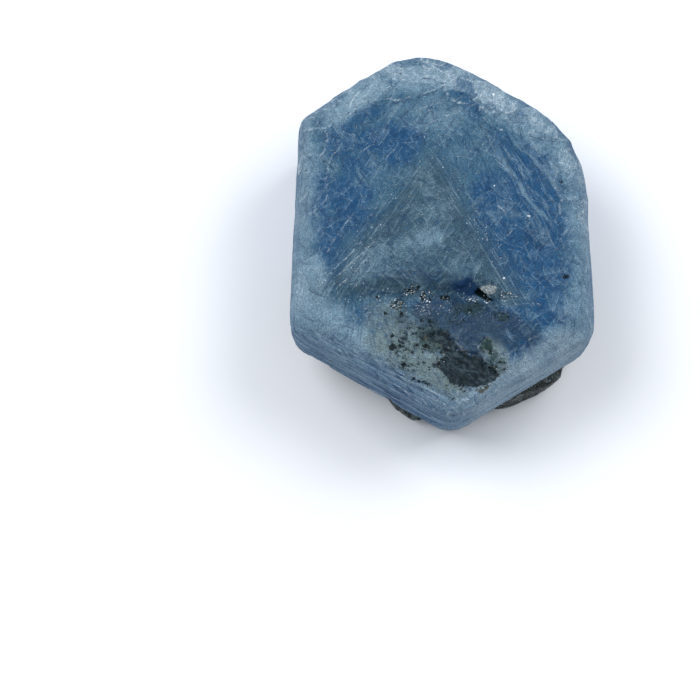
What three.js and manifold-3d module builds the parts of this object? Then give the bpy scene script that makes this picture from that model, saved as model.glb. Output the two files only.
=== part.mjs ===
// A rough sapphire crystal: one stout six-sided barrel of blue corundum, ended above by its
// three-sided growth face and broken off below, where a crust of its dark mica rock still clings.
// Millimetres, +Z up along the crystal's main axis, standing on its broken base. The ledge and the
// dark patch face -Y. The origin is under the middle of the outline, in the plane that it rests on.
import * as THREE from "three";
import { mergeVertices } from "three/addons/utils/BufferGeometryUtils.js";
import Module from "manifold-3d";

const wasm = await Module();
wasm.setup();

// ---- Driving dimensions ----
const HEIGHT = 10.5;
const CRUST_GAP = 0.28; // between the crystal and the crust that fits it

// The six prism faces, counter-clockwise from +X, by direction and by distance from the axis.
const FACES = [
  { direction: 2.0, distance: 8.87 },
  { direction: 60.5, distance: 10.35 },
  { direction: 124, distance: 11.2 },
  { direction: 177.5, distance: 8.75 },
  { direction: 241, distance: 8.8 },
  { direction: 301, distance: 9.3 },
];
// The corner that follows each face is worn round over this length of both its edges.
const CORNER_WEAR = [3.6, 2.9, 0.5, 1.0, 1.1, 1.1];
const CORNER_STEPS = 4;
const EDGE_STEPS = 5;

// The side is widest at the belt, draws in a little to the base, and rolls over to the top.
const BELT = 7.3;
const BASE_DRAW_IN = 0.5;
const RIM = [
  { z: 8.1, inset: 0.1 },
  { z: 8.9, inset: 0.42 },
  { z: 9.6, inset: 0.95 },
  { z: 10.3, inset: 1.9 },
  { z: 10.8, inset: 3.2 },
];
const GROWTH_STEPS = 11; // level bands on the side faces, each standing in or out of the next
const STEP_DEPTH = 0.22;
const STEP_RISE = 0.2;
const STEP_WANDER = 0.5; // how unequal the bands are, as a share of their height

// The top is three faces that fall gently from a raised triangle towards every other corner, with
// one step down where an outer terrace ends. Both triangles are flattened and turned a little, and
// their edges slope out by half their spread over their thickness.
const TRIANGLE_FLATTEN = 0.85;
const TRIANGLE_TURN = THREE.MathUtils.degToRad(-4);
const TRIANGLE = { x: -1.05, y: -0.5, radius: 6.45, rise: 0.3, thickness: 0.6, spread: 0.6 };
const OUTER_TERRACE = { x: -1.9, y: -1.2, radius: 13.4, rise: 0.22, thickness: 3, spread: 4 };
const TOP_FALL = THREE.MathUtils.degToRad(6);

// In front the triangle's edge is broken back to a shallow dished step, with a hollow where mica
// still sits. Each outline is at the cut's foot, and its sides slope outwards over the bevel.
const BROKEN_STEP = {
  depth: 0.98,
  bevel: { thickness: 0.6, size: 0.8 },
  outline: [
    [-8.6, -4.6], [-8.6, -13], [8.6, -13], [8.6, -5.6], [6.2, -5.0], [4.4, -4.1], [3.2, -4.0],
    [2.2, -3.4], [1.0, -3.55], [-0.6, -3.15], [-1.9, -3.5], [-3.3, -3.2], [-4.6, -3.6],
    [-6.2, -4.0],
  ],
};
const STEP_DISH = { x: -0.9, radius: 24, steps: 96 };
const MICA_HOLLOW = {
  depth: 1.1,
  bevel: { thickness: 0.1, size: 0.1 },
  outline: [
    [-1.1, -5.3], [0.4, -5.3], [0.8, -6.0], [1.2, -6.4], [2.1, -6.6], [2.5, -7.3], [3.1, -7.7],
    [3.0, -8.2], [1.1, -8.1], [0.4, -7.8], [0.3, -7.5], [-0.7, -7.2], [0.1, -6.4], [-0.1, -5.9],
  ],
};
const CREVICE = {
  depth: 1.7,
  bevel: { thickness: 0.3, size: 0.08 },
  outline: [[1.7, -2.8], [2.3, -3.2], [3.3, -3.75], [3.35, -3.65], [2.5, -2.95], [1.9, -2.65]],
};
// A chip that has grown on beside the crevice.
const FLAKE = { x: 2.75, y: -2.85, size: [1.5, 0.7, 0.5], turn: -28, tilt: 12 };

// Worn and chipped places on the rim: flats by their direction from the axis, and round scoops.
const RIM_FLATS = [
  { direction: 60, distance: 7.6, slope: 19 },
  { direction: 2, distance: 7.3, slope: 16 },
  { direction: 122, distance: 9.8, slope: 24 },
  { direction: 301, distance: 8.1, slope: 14 },
];
const RIM_FALL = 0.045; // how much lower a flat starts for each millimetre from the axis
const RIM_SLAB = [12, 30];
const SCOOPS = [
  { x: -1.2, y: 15.6, z: 15.8, radius: 8.8 },
  { x: 12.7, y: 8.8, z: 12.8, radius: 5.4 },
  { x: -15.3, y: 3.6, z: 2.2, radius: 7.1 },
  { x: 9.6, y: 14.6, z: 0.4, radius: 8.2 },
];

// The broken base, and the crust between it and the floor.
// It rises between two distances in front of the axis, the first of which is behind it.
const BREAK_RISE = 3.9;
const BREAK_STARTS = -3.5;
const BREAK_ENDS = 5.5;
const BREAK_LUMPS = 0.16;
const BREAK_SPAN = [26, 28];
const BREAK_CELLS = 22;
const FRONT_CORNER = { x: 0.6, y: -9.9, drop: 3.2, core: 0.8, reach: 3.8 };
const KNOBS = 0.07; // how far a knob stands out, as a share of its lump's size
const CRUST_LUMPS = [
  { x: -0.2, y: -3.2, z: 0.6, size: [6.6, 4.4, 4.6], turn: 4 },
  { x: -2.8, y: -4.4, z: 1.0, size: [3.2, 2.7, 3.8], turn: -30 },
  { x: -1.5, y: -7.0, z: 1.4, size: [2.0, 1.9, 3.0], turn: -30 },
  { x: 4.6, y: -6.1, z: 1.6, size: [3.3, 2.2, 3.4], turn: 32 },
  { x: 6.6, y: -4.6, z: 1.5, size: [1.7, 1.6, 2.6], turn: 32 },
  { x: 2.6, y: -7.2, z: 1.2, size: [1.5, 1.2, 2.3], turn: 15 },
  { x: 3.5, y: -4.5, z: 1.0, size: [4.2, 3.4, 3.8], turn: 20 },
];

// How far a cutter reaches past whatever it cuts.
const MARGIN = 8;

// ---- Helpers ----

// Numbers that look random and are the same on every run.
function seededRandom(seed) {
  let state = seed;
  return () => {
    state = (state * 1664525 + 1013904223) % 4294967296;
    return state / 4294967296;
  };
}

// A closed three.js geometry as a manifold-3d solid.
function solidFrom(geometry) {
  const bare = geometry.clone();
  bare.deleteAttribute("normal");
  bare.deleteAttribute("uv");
  const merged = mergeVertices(bare, 1e-4);
  return new wasm.Manifold(
    new wasm.Mesh({
      numProp: 3,
      vertProperties: merged.attributes.position.array,
      triVerts: new Uint32Array(merged.index.array),
    }),
  );
}

function meshFrom(solid, name, material) {
  const { numProp, numVert, vertProperties, triVerts } = solid.getMesh();
  const positions = new Float32Array(numVert * 3);
  for (let i = 0; i < numVert; i++) {
    positions.set(vertProperties.subarray(i * numProp, i * numProp + 3), i * 3);
  }
  const geometry = new THREE.BufferGeometry();
  geometry.setAttribute("position", new THREE.BufferAttribute(positions, 3));
  geometry.setIndex(new THREE.BufferAttribute(triVerts, 1));
  const mesh = new THREE.Mesh(geometry, material);
  mesh.name = name;
  return mesh;
}

// A closed geometry from equal rings of points, lowest first, each ring counter-clockwise seen
// from above.
function loft(rings) {
  const count = rings[0].length;
  const positions = rings.flat().flatMap((p) => [p.x, p.y, p.z]);
  const faces = [];
  for (let level = 0; level + 1 < rings.length; level++) {
    for (let i = 0; i < count; i++) {
      const a = level * count + i;
      const b = level * count + ((i + 1) % count);
      faces.push(a, b, b + count, a, b + count, a + count);
    }
  }
  const top = (rings.length - 1) * count;
  for (let i = 1; i + 1 < count; i++) {
    faces.push(0, i + 1, i, top, top + i, top + i + 1);
  }
  const geometry = new THREE.BufferGeometry();
  geometry.setAttribute("position", new THREE.Float32BufferAttribute(positions, 3));
  geometry.setIndex(faces);
  return geometry;
}

// ---- The barrel ----

// The point where two neighbouring faces meet, at these distances from the axis.
function cornerBetween(face, distances) {
  const next = (face + 1) % 6;
  const a = THREE.MathUtils.degToRad(FACES[face].direction);
  const b = THREE.MathUtils.degToRad(FACES[next].direction);
  const across = Math.sin(b - a);
  const x = (distances[face] * Math.sin(b) - distances[next] * Math.sin(a)) / across;
  const y = (distances[next] * Math.cos(a) - distances[face] * Math.cos(b)) / across;
  return new THREE.Vector2(x, y);
}

// The six-sided outline at height z with its worn corners, each face drawn in by its own inset.
function outline(z, insets) {
  const distances = FACES.map(({ distance }, face) => distance - insets[face]);
  const corners = distances.map((_, face) => cornerBetween(face, distances));
  const wornCorners = corners.map((corner, i) => {
    const towards = (other) => other.clone().sub(corner).setLength(CORNER_WEAR[i]).add(corner);
    const before = towards(corners[(i + 5) % 6]);
    const after = towards(corners[(i + 1) % 6]);
    return new THREE.QuadraticBezierCurve(before, corner, after).getPoints(CORNER_STEPS);
  });
  const ring = wornCorners.flatMap((arc, i) => {
    const edge = new THREE.LineCurve(arc[arc.length - 1], wornCorners[(i + 1) % 6][0]);
    return [...arc, ...edge.getPoints(EDGE_STEPS).slice(1, -1)];
  });
  return ring.map((p) => new THREE.Vector3(p.x, p.y, z));
}

// The whole barrel before anything is broken off it. A positive swell makes it larger all round.
function barrel(swell) {
  const random = seededRandom(53);
  const rings = [];
  const bandHeight = BELT / GROWTH_STEPS;
  for (let band = 0; band < GROWTH_STEPS; band++) {
    const wander = (random() - 0.5) * STEP_WANDER * bandHeight;
    const low = band === 0 ? -1 : band * bandHeight + wander;
    const high = (band + 1) * bandHeight;
    const depths = FACES.map(() => random() * STEP_DEPTH);
    for (const z of [low + STEP_RISE / 2, high - STEP_RISE / 2]) {
      const drawIn = BASE_DRAW_IN * (1 - z / BELT) ** 2;
      rings.push(outline(z, depths.map((depth) => drawIn + depth - swell)));
    }
  }
  for (const { z, inset } of RIM) {
    rings.push(outline(z, FACES.map(() => inset - swell)));
  }
  return solidFrom(loft(rings));
}

// ---- The top ----

// A three-sided plate with its point towards +Y, its flat top at topZ, its sides falling outwards.
function trianglePlate({ x, y, radius, thickness, spread }, topZ) {
  const plate = new THREE.CylinderGeometry(radius, radius + spread, thickness, 3);
  plate.rotateX(Math.PI / 2);
  plate.rotateZ(Math.PI);
  plate.scale(1, TRIANGLE_FLATTEN, 1);
  plate.rotateZ(TRIANGLE_TURN);
  plate.translate(x, y, topZ - thickness / 2);
  return solidFrom(plate);
}

// Everything under three faces that fall gently away from the raised triangle's edges.
function underFallingFaces(topZ) {
  const thickness = topZ + MARGIN;
  const spread = (2 * thickness) / Math.tan(TOP_FALL);
  return trianglePlate({ ...TRIANGLE, thickness, spread }, topZ);
}

// The falling faces drop one step at the outer terrace's edge, and the triangle stands on them.
function growthTop() {
  const shoulder = HEIGHT - TRIANGLE.rise;
  const inner = underFallingFaces(shoulder).intersect(trianglePlate(OUTER_TERRACE, HEIGHT));
  const outer = underFallingFaces(shoulder - OUTER_TERRACE.rise);
  return inner.add(outer).add(trianglePlate(TRIANGLE, HEIGHT));
}

// A cutter that stands on an outline at the given depth, with sloping sides at its foot.
function cutterOver({ outline: points, depth, bevel }) {
  const shape = new THREE.Shape(points.map(([x, y]) => new THREE.Vector2(x, y)));
  const cutter = new THREE.ExtrudeGeometry(shape, {
    depth: depth + 1,
    bevelThickness: bevel.thickness,
    bevelSize: bevel.size,
    bevelSegments: 1,
  });
  cutter.translate(0, 0, HEIGHT - depth + bevel.thickness);
  return solidFrom(cutter);
}

// The broken step's cutter: its outline, with the floor dished so that it runs out at both sides.
function brokenStep() {
  const { x, radius, steps } = STEP_DISH;
  const trough = new THREE.CylinderGeometry(radius, radius, 4 * HEIGHT, steps);
  trough.translate(x, 0, HEIGHT - BROKEN_STEP.depth + radius);
  return cutterOver(BROKEN_STEP).intersect(solidFrom(trough));
}

// A slab that planes off whatever of the rim lies beyond a sloping flat.
function rimFlat({ direction, distance, slope }) {
  const [length, width] = RIM_SLAB;
  const slab = new THREE.BoxGeometry(length, width, MARGIN);
  slab.translate(length / 2, 0, MARGIN / 2);
  slab.rotateY(THREE.MathUtils.degToRad(slope));
  slab.translate(distance, 0, HEIGHT - TRIANGLE.rise - distance * RIM_FALL);
  slab.rotateZ(THREE.MathUtils.degToRad(direction));
  return solidFrom(slab);
}

function flake({ x, y, size, turn, tilt }) {
  const chip = new THREE.BoxGeometry(...size);
  chip.rotateX(THREE.MathUtils.degToRad(tilt));
  chip.rotateZ(THREE.MathUtils.degToRad(turn));
  chip.translate(x, y, HEIGHT - TRIANGLE.rise);
  return solidFrom(chip);
}

// A rounded cutter that leaves a shell-shaped scoop.
function scoop({ x, y, z, radius }) {
  const ball = new THREE.IcosahedronGeometry(radius, 5);
  ball.translate(x, y, z);
  return solidFrom(ball);
}

// ---- The base and the crust ----

// How high the broken base stands over the floor: nothing at the back, highest in front, where the
// front corner alone still reaches down.
function breakHeight(x, y) {
  const { smoothstep } = THREE.MathUtils;
  const rise = BREAK_RISE * smoothstep(-y, BREAK_STARTS, BREAK_ENDS);
  const swells = [0.9 * x + 0.5 * y, 1.7 * y - 0.6 * x + 1, 1.3 * x + 2.1 * y];
  const lumps = swells.reduce((sum, phase) => sum + Math.sin(phase), 0);
  const fromCorner = Math.hypot(x - FRONT_CORNER.x, y - FRONT_CORNER.y);
  const { drop, core, reach } = FRONT_CORNER;
  const spared = drop * (1 - smoothstep(fromCorner, core, reach));
  return rise + BREAK_LUMPS * lumps - spared - BREAK_LUMPS;
}

// A block under the broken surface, whose top is a grid of flat facets.
function underTheBreak(lowered) {
  const block = new THREE.BoxGeometry(...BREAK_SPAN, 1, BREAK_CELLS, BREAK_CELLS, 1);
  const position = block.attributes.position;
  for (let i = 0; i < position.count; i++) {
    const x = position.getX(i);
    const y = position.getY(i);
    const isTop = position.getZ(i) > 0;
    position.setZ(i, isTop ? breakHeight(x, y) - lowered : -MARGIN);
  }
  return solidFrom(block);
}

function underTheFloor() {
  const slab = new THREE.BoxGeometry(4 * HEIGHT, 4 * HEIGHT, 2 * MARGIN);
  slab.translate(0, 0, -MARGIN);
  return solidFrom(slab);
}

// A lump of crust: a knobbly flattened ball.
function lump({ x, y, z, size, turn }) {
  const ball = new THREE.IcosahedronGeometry(1, 4);
  const position = ball.attributes.position;
  const point = new THREE.Vector3();
  for (let i = 0; i < position.count; i++) {
    point.fromBufferAttribute(position, i);
    const broad = Math.sin(5 * point.x + x) * Math.sin(4 * point.y + y);
    const fine = Math.sin(7 * point.z + 3 * point.x);
    point.multiplyScalar(1 + KNOBS * (broad + fine));
    position.setXYZ(i, point.x, point.y, point.z);
  }
  ball.scale(...size);
  ball.rotateZ(THREE.MathUtils.degToRad(turn));
  ball.translate(x, y, z);
  return solidFrom(ball);
}

// ---- The pieces ----

function crystal() {
  let solid = barrel(0).intersect(growthTop());
  solid = solid.subtract(brokenStep()).add(flake(FLAKE));
  for (const cut of [MICA_HOLLOW, CREVICE]) {
    solid = solid.subtract(cutterOver(cut));
  }
  for (const flat of RIM_FLATS) {
    solid = solid.subtract(rimFlat(flat));
  }
  for (const ball of SCOOPS) {
    solid = solid.subtract(scoop(ball));
  }
  return solid.subtract(underTheBreak(0)).subtract(underTheFloor());
}

// The crust fills the space between the broken base and the floor, and laps up round the front.
function crust() {
  const lumps = CRUST_LUMPS.map(lump);
  const mass = lumps.reduce((all, next) => all.add(next));
  const roomForCrystal = barrel(CRUST_GAP).subtract(underTheBreak(CRUST_GAP));
  return mass.subtract(roomForCrystal).subtract(underTheFloor());
}

const sapphire = new THREE.MeshStandardMaterial({ color: 0x4d7396, roughness: 0.42, metalness: 0 });
const micaRock = new THREE.MeshStandardMaterial({ color: 0x2f3a38, roughness: 0.8, metalness: 0 });

const pieces = new THREE.Group();
pieces.add(meshFrom(crystal(), "sapphire_crystal", sapphire));
pieces.add(meshFrom(crust(), "mica_crust", micaRock));

// The pieces are set so that the origin is under the middle of their outline.
const middle = new THREE.Box3().setFromObject(pieces).getCenter(new THREE.Vector3());
pieces.position.set(-middle.x, -middle.y, 0);

const group = new THREE.Group();
group.add(pieces);
export default group;
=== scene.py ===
"""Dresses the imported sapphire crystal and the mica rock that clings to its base.

Every piece is made in millimetres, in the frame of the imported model, and scaled to metres at the end.
"""

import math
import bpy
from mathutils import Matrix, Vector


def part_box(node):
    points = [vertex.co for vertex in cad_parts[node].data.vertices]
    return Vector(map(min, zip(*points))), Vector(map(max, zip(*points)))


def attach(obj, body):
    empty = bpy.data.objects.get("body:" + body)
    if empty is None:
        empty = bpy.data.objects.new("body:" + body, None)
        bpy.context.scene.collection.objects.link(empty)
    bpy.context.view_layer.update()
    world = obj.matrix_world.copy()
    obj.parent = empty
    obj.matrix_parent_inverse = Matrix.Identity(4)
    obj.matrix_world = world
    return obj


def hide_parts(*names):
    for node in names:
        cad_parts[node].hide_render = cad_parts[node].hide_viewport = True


bl_info = {
    "name": "Sapphire Crystal",
    "version": (1, 0, 0),
    "blender": (4, 5, 0),
    "location": "View3D > Sidebar > Sapphire",
    "description": "A rough six-sided sapphire with its growth triangle, broken step and mica crust",
    "category": "Object",
}

import bpy
import numpy as np
from mathutils import Matrix, Vector
from mathutils.bvhtree import BVHTree

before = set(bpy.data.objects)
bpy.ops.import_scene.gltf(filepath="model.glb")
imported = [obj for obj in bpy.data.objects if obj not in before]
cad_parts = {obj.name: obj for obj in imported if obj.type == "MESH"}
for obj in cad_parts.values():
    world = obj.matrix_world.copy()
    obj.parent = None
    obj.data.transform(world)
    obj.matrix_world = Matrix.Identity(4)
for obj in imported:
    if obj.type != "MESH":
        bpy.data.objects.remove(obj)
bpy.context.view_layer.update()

MM = 0.001
CRYSTAL_NODE = "sapphire_crystal"
CRUST_NODE = "mica_crust"

# ---- Where things lie on the crystal, in millimetres seen from above ----

# The six prism faces, by direction in degrees and by distance from the crystal's own axis.
AXIS = (-0.044, -0.855)
PRISM_FACES = [
    (2.0, 8.87), (60.5, 10.35), (124, 11.2), (177.5, 8.75), (241, 8.8), (301, 9.3),
]

# The raised growth triangle points at +Y.
TRIANGLE_CENTRE = (-1.094, -1.355)
TRIANGLE_RADIUS = 6.45
TRIANGLE_FLATTEN = 0.85
TRIANGLE_TURN = math.radians(-4)

# The lip of the broken step, from -X to +X.
LEDGE = [
    (-8.6, -5.3), (-6.2, -4.9), (-4.6, -4.3), (-3.3, -3.9), (-1.9, -4.1), (-0.6, -3.8),
    (1.0, -4.1), (2.2, -4.0), (3.2, -4.4), (4.4, -4.7), (6.2, -5.3), (8.6, -6.2),
]

# Pools of deep blue: x, y, half length, half width, turn in degrees, depth of colour.
BLUE_POOLS = [
    (-4.74, 6.87, 1.29, 0.61, 10, 0.62), (-5.85, 5.37, 1.13, 1.30, 0, 0.63),
    (-2.52, 5.13, 1.29, 1.38, -20, 1.00), (-4.1, 5.25, 0.91, 0.69, 0, 0.98),
    (-4.86, 3.75, 1.05, 0.85, 0, 0.69), (-5.5, 1.89, 1.29, 1.16, -10, 1.00),
    (-7.36, 2.07, 1.05, 1.38, 0, 0.92), (-5.09, 0.44, 1.45, 1.00, 0, 0.84),
    (-6.75, -0.63, 1.10, 1.60, 20, 0.76), (-6.54, -2.04, 0.75, 1.22, 15, 0.86),
    (-7.25, 0.58, 0.91, 0.92, 0, 0.57), (2.8, 1.6, 1.2, 1.75, -10, 1.10),
    (5.12, 2.55, 1.82, 2.61, -12, 0.98), (3.51, 5.13, 0.83, 1.00, 0, 0.57),
    (5.96, 0.16, 1.66, 1.53, -20, 0.92), (4.49, -2.04, 2.12, 1.69, -30, 1.00),
    (6.1, -2.63, 1.37, 1.38, -30, 0.92), (3.57, -0.43, 1.21, 1.08, 0, 0.92),
    (1.36, 8.26, 1.21, 0.69, -20, 0.40), (1.88, 7.36, 0.75, 0.92, 0, 0.52),
    (1.23, -3.46, 0.99, 0.53, 0, 1.00), (-1.32, -3.16, 2.12, 0.39, 0, 0.80),
    (4.16, -5.23, 1.05, 0.69, 0, 1.00), (4.15, -7.0, 1.60, 1.10, 0, 1.00),
    (6.0, -4.6, 1.60, 1.22, 0, 0.88), (1.38, -6.52, 1.21, 1.22, 0, 0.92),
    (-4.11, -5.17, 1.37, 0.77, 0, 0.52), (5.31, -6.34, 1.21, 1.08, 0, 0.57),
    (0.23, -4.4, 2.26, 0.53, 0, 0.69),
]

# Pale, milky places, in the same terms.
MILKY_PLACES = [
    (-7.8, -3.4, 1.3, 2.4, 5, 1.1), (-7.2, -5.6, 1.9, 1.5, -30, 1.05),
    (-5.7, -6.7, 2.2, 1.3, -28, 1.2), (-3.9, -7.5, 1.6, 0.9, -30, 0.7),
    (-8.5, 1.6, 1.3, 6.0, 0, 0.82), (5.5, -8.7, 2.5, 1.0, 26, 1.4), (6.8, -7.2, 2.0, 1.3, 30, 1.4),
    (8.0, -4.9, 1.3, 2.0, -5, 0.7), (8.2, 0.5, 1.1, 4.7, 3, 0.6), (7.3, 4.1, 1.3, 1.2, -40, 0.75),
    (6.0, 5.6, 1.9, 1.0, -36, 0.72), (3.9, 7.1, 1.9, 1.0, -30, 0.85),
    (-1.2, 8.9, 2.3, 0.9, 10, 0.8), (-0.5, 6.8, 2.2, 1.2, 0, 0.45), (-2.4, 7.2, 1.1, 0.6, 20, 0.4),
    (-4.6, 8.1, 2.2, 0.8, 34, 0.95), (-6.0, 7.2, 1.4, 0.8, 40, 1.0),
    (-0.8, -0.7, 1.0, 0.7, 20, 0.5), (-2.0, -1.4, 1.2, 0.8, 0, 0.35),
    (-0.3, 0.8, 0.9, 0.9, 0, 0.25), (-1.0, 2.9, 0.7, 1.2, 0, 0.4), (-4.6, -2.3, 1.6, 1.2, 30, 0.50),
    (0.9, -2.6, 0.9, 0.4, 10, 0.35), (4.0, -9.3, 1.6, 0.8, 25, 1.2), (1.4, -10.5, 2.0, 0.7, 8, 1.1),
    (-0.8, -10.1, 1.5, 0.7, -25, 0.6), (-2.6, -8.6, 1.6, 0.6, -28, 0.5),
]

# Places stained a grey green, in the same terms.
MURKY_PLACES = [
    (-2.0, -7.0, 2.3, 1.8, -10, 1.0), (-0.6, -9.2, 2.6, 1.5, -15, 1.0),
    (1.7, -9.9, 2.4, 1.0, 15, 0.8), (-3.3, -5.3, 1.6, 1.2, 0, 0.6), (-3.6, -3.6, 1.8, 0.9, 0, 0.25),
    (-1.2, -5.5, 1.7, 0.6, 0, 0.55), (2.9, -7.8, 0.9, 1.4, 10, 1.0), (4.0, -8.8, 1.7, 0.9, 25, 0.5),
]

# Whitened, crumbled places along the rim, in the same terms.
FROSTED_PLACES = [
    (-0.8, 9.5, 2.3, 0.6, 0, 1.3), (0.6, 8.9, 0.9, 0.4, -20, 0.8), (-4.4, 8.2, 1.6, 0.35, 33, 0.7),
    (5.0, 6.9, 1.6, 0.45, -36, 0.7), (7.6, 3.6, 1.2, 0.4, -62, 0.8),
    (-8.35, 4.8, 0.25, 1.0, 0, 0.6), (2.9, 8.2, 0.8, 0.35, -28, 0.5),
    (-8.3, -3.6, 0.5, 1.6, 0, 0.7),
]

# Painted shade along the ledge and on the dim floor of the step below it, and other dusky places darkened
# the same way, in the same terms.
DUSKY_PLACES = [
    (0.2, -3.9, 3.4, 0.9, 0, 0.45), (1.0, -5.1, 3.0, 1.2, -6, 1.0), (2.9, -5.7, 2.0, 1.0, 0, 0.8),
    (-1.2, -3.0, 2.6, 0.45, 0, 0.62), (0.4, -3.5, 1.0, 0.35, 0, 0.8), (1.0, -6.5, 1.1, 0.9, 0, 0.9),
    (-1.6, -5.2, 1.6, 0.9, 0, 0.55), (4.3, -6.4, 1.5, 1.1, 0, 0.7), (5.6, -0.3, 1.1, 1.1, 0, 0.4),
    (1.35, -6.2, 1.3, 1.2, 0, 1.3), (1.3, -0.7, 0.9, 1.2, 10, 0.35), (-3.1, 0.1, 0.8, 1.0, 0, 0.35),
]

# Olive stains of weathered mica, in the same terms.
OLIVE_STAINS = [
    (-0.75, -6.35, 1.1, 0.6, -10, 1.2), (-0.2, -6.9, 0.7, 0.6, 0, 1.0),
    (2.85, -7.45, 0.25, 0.4, 0, 1.0), (1.59, -4.7, 0.95, 0.50, 0, 0.9),
    (1.2, -5.1, 0.5, 0.3, 0, 0.7), (3.39, -5.15, 0.34, 0.36, 20, 0.9),
    (-0.74, -6.33, 0.93, 0.58, 0, 0.9), (-2.02, -6.81, 1.51, 1.05, 0, 0.55),
    (-2.2, -7.92, 1.28, 0.47, 0, 0.6), (-1.03, -5.45, 0.81, 0.35, 0, 0.6),
    (2.45, -6.81, 0.41, 0.47, 20, 0.9), (2.9, -8.0, 0.65, 0.9, 0, 0.8),
    (2.37, -9.1, 0.47, 0.35, 0, 0.7), (-2.48, -4.86, 1.05, 0.58, 0, 0.5),
    (0.24, -7.34, 0.7, 1.05, 10, 0.6), (-1.74, -8.86, 1.16, 0.35, -15, 0.3),
    (0.77, -5.33, 0.58, 0.35, 0, 0.5), (-0.9, -5.8, 1.3, 0.35, -5, 0.62),
    (-2.2, -5.6, 0.8, 0.3, 0, 0.55), (-2.71, -4.33, 0.7, 0.35, 0, 0.5),
]

# Heaps of loose grains along the ledge, in the same terms.
GRAIN_HEAPS = [
    (-1.89, -3.66, 0.41, 0.22, 0, 1.0), (-0.91, -3.99, 0.36, 0.38, 0, 1.0),
    (-2.71, -4.34, 0.58, 0.40, 0, 0.75), (-3.64, -4.05, 0.58, 0.17, 0, 0.4),
    (0.26, -3.99, 0.52, 0.20, 0, 0.45), (1.88, -4.17, 0.93, 0.14, 0, 0.4),
    (-1.32, -4.64, 0.93, 0.41, 0, 0.32), (-0.15, -4.7, 0.7, 0.35, 0, 0.25),
    (3.63, -3.99, 0.45, 0.30, 0, 0.5),
]

# The patch where dark mica is still set in the step.
MICA_PATCH = [
    (-1.08, -6.06), (-0.45, -6.0), (0.36, -6.18), (0.65, -6.48), (0.77, -6.83), (1.11, -7.18),
    (1.57, -7.36), (2.04, -7.48), (2.32, -7.83), (2.5, -8.12), (2.84, -8.24), (3.13, -8.59),
    (3.01, -9.0), (2.6, -9.12), (1.68, -9.32), (1.1, -9.22), (0.40, -8.98), (0.15, -8.62),
    (-0.17, -8.24), (-0.75, -8.06), (-0.4, -7.77), (0.07, -7.3), (-0.16, -6.83), (-0.8, -6.53),
    (-1.2, -6.24),
]

# A cut beside the crevice, which the skin fills in.
NOTCH = [(1.66, -3.66), (2.26, -4.06), (3.26, -4.6), (3.31, -4.5), (2.46, -3.8), (1.86, -3.5)]

# The open crevice, the pale flake beside it, and the clear dark tongue on its other side.
CREVICE = [
    (1.85, -3.80), (2.04, -3.57), (2.36, -3.83), (2.51, -4.01), (2.90, -4.23), (2.66, -4.27),
    (2.35, -4.06), (2.08, -3.93),
]
FLAKE = [
    (2.03, -3.54), (2.33, -3.42), (2.68, -3.38), (3.05, -3.57), (2.96, -3.82), (2.65, -3.93),
    (2.37, -3.80),
]
TONGUE = [
    (0.55, -3.50), (1.0, -3.18), (1.38, -3.04), (1.83, -3.20), (2.04, -3.42), (1.97, -3.80),
    (1.47, -3.94), (0.88, -3.84),
]

# A sliver of weathered mica by the mica patch, and a rusty spot below it.
OLIVE_WEDGE = [(1.99, -7.0), (2.40, -6.55), (2.69, -6.3), (2.84, -6.45), (2.78, -7.0), (2.4, -7.05)]
OCHRE_SPOT = [(2.0, -9.33), (2.65, -9.3), (2.6, -9.5), (2.1, -9.56), (1.85, -9.48)]
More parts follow.
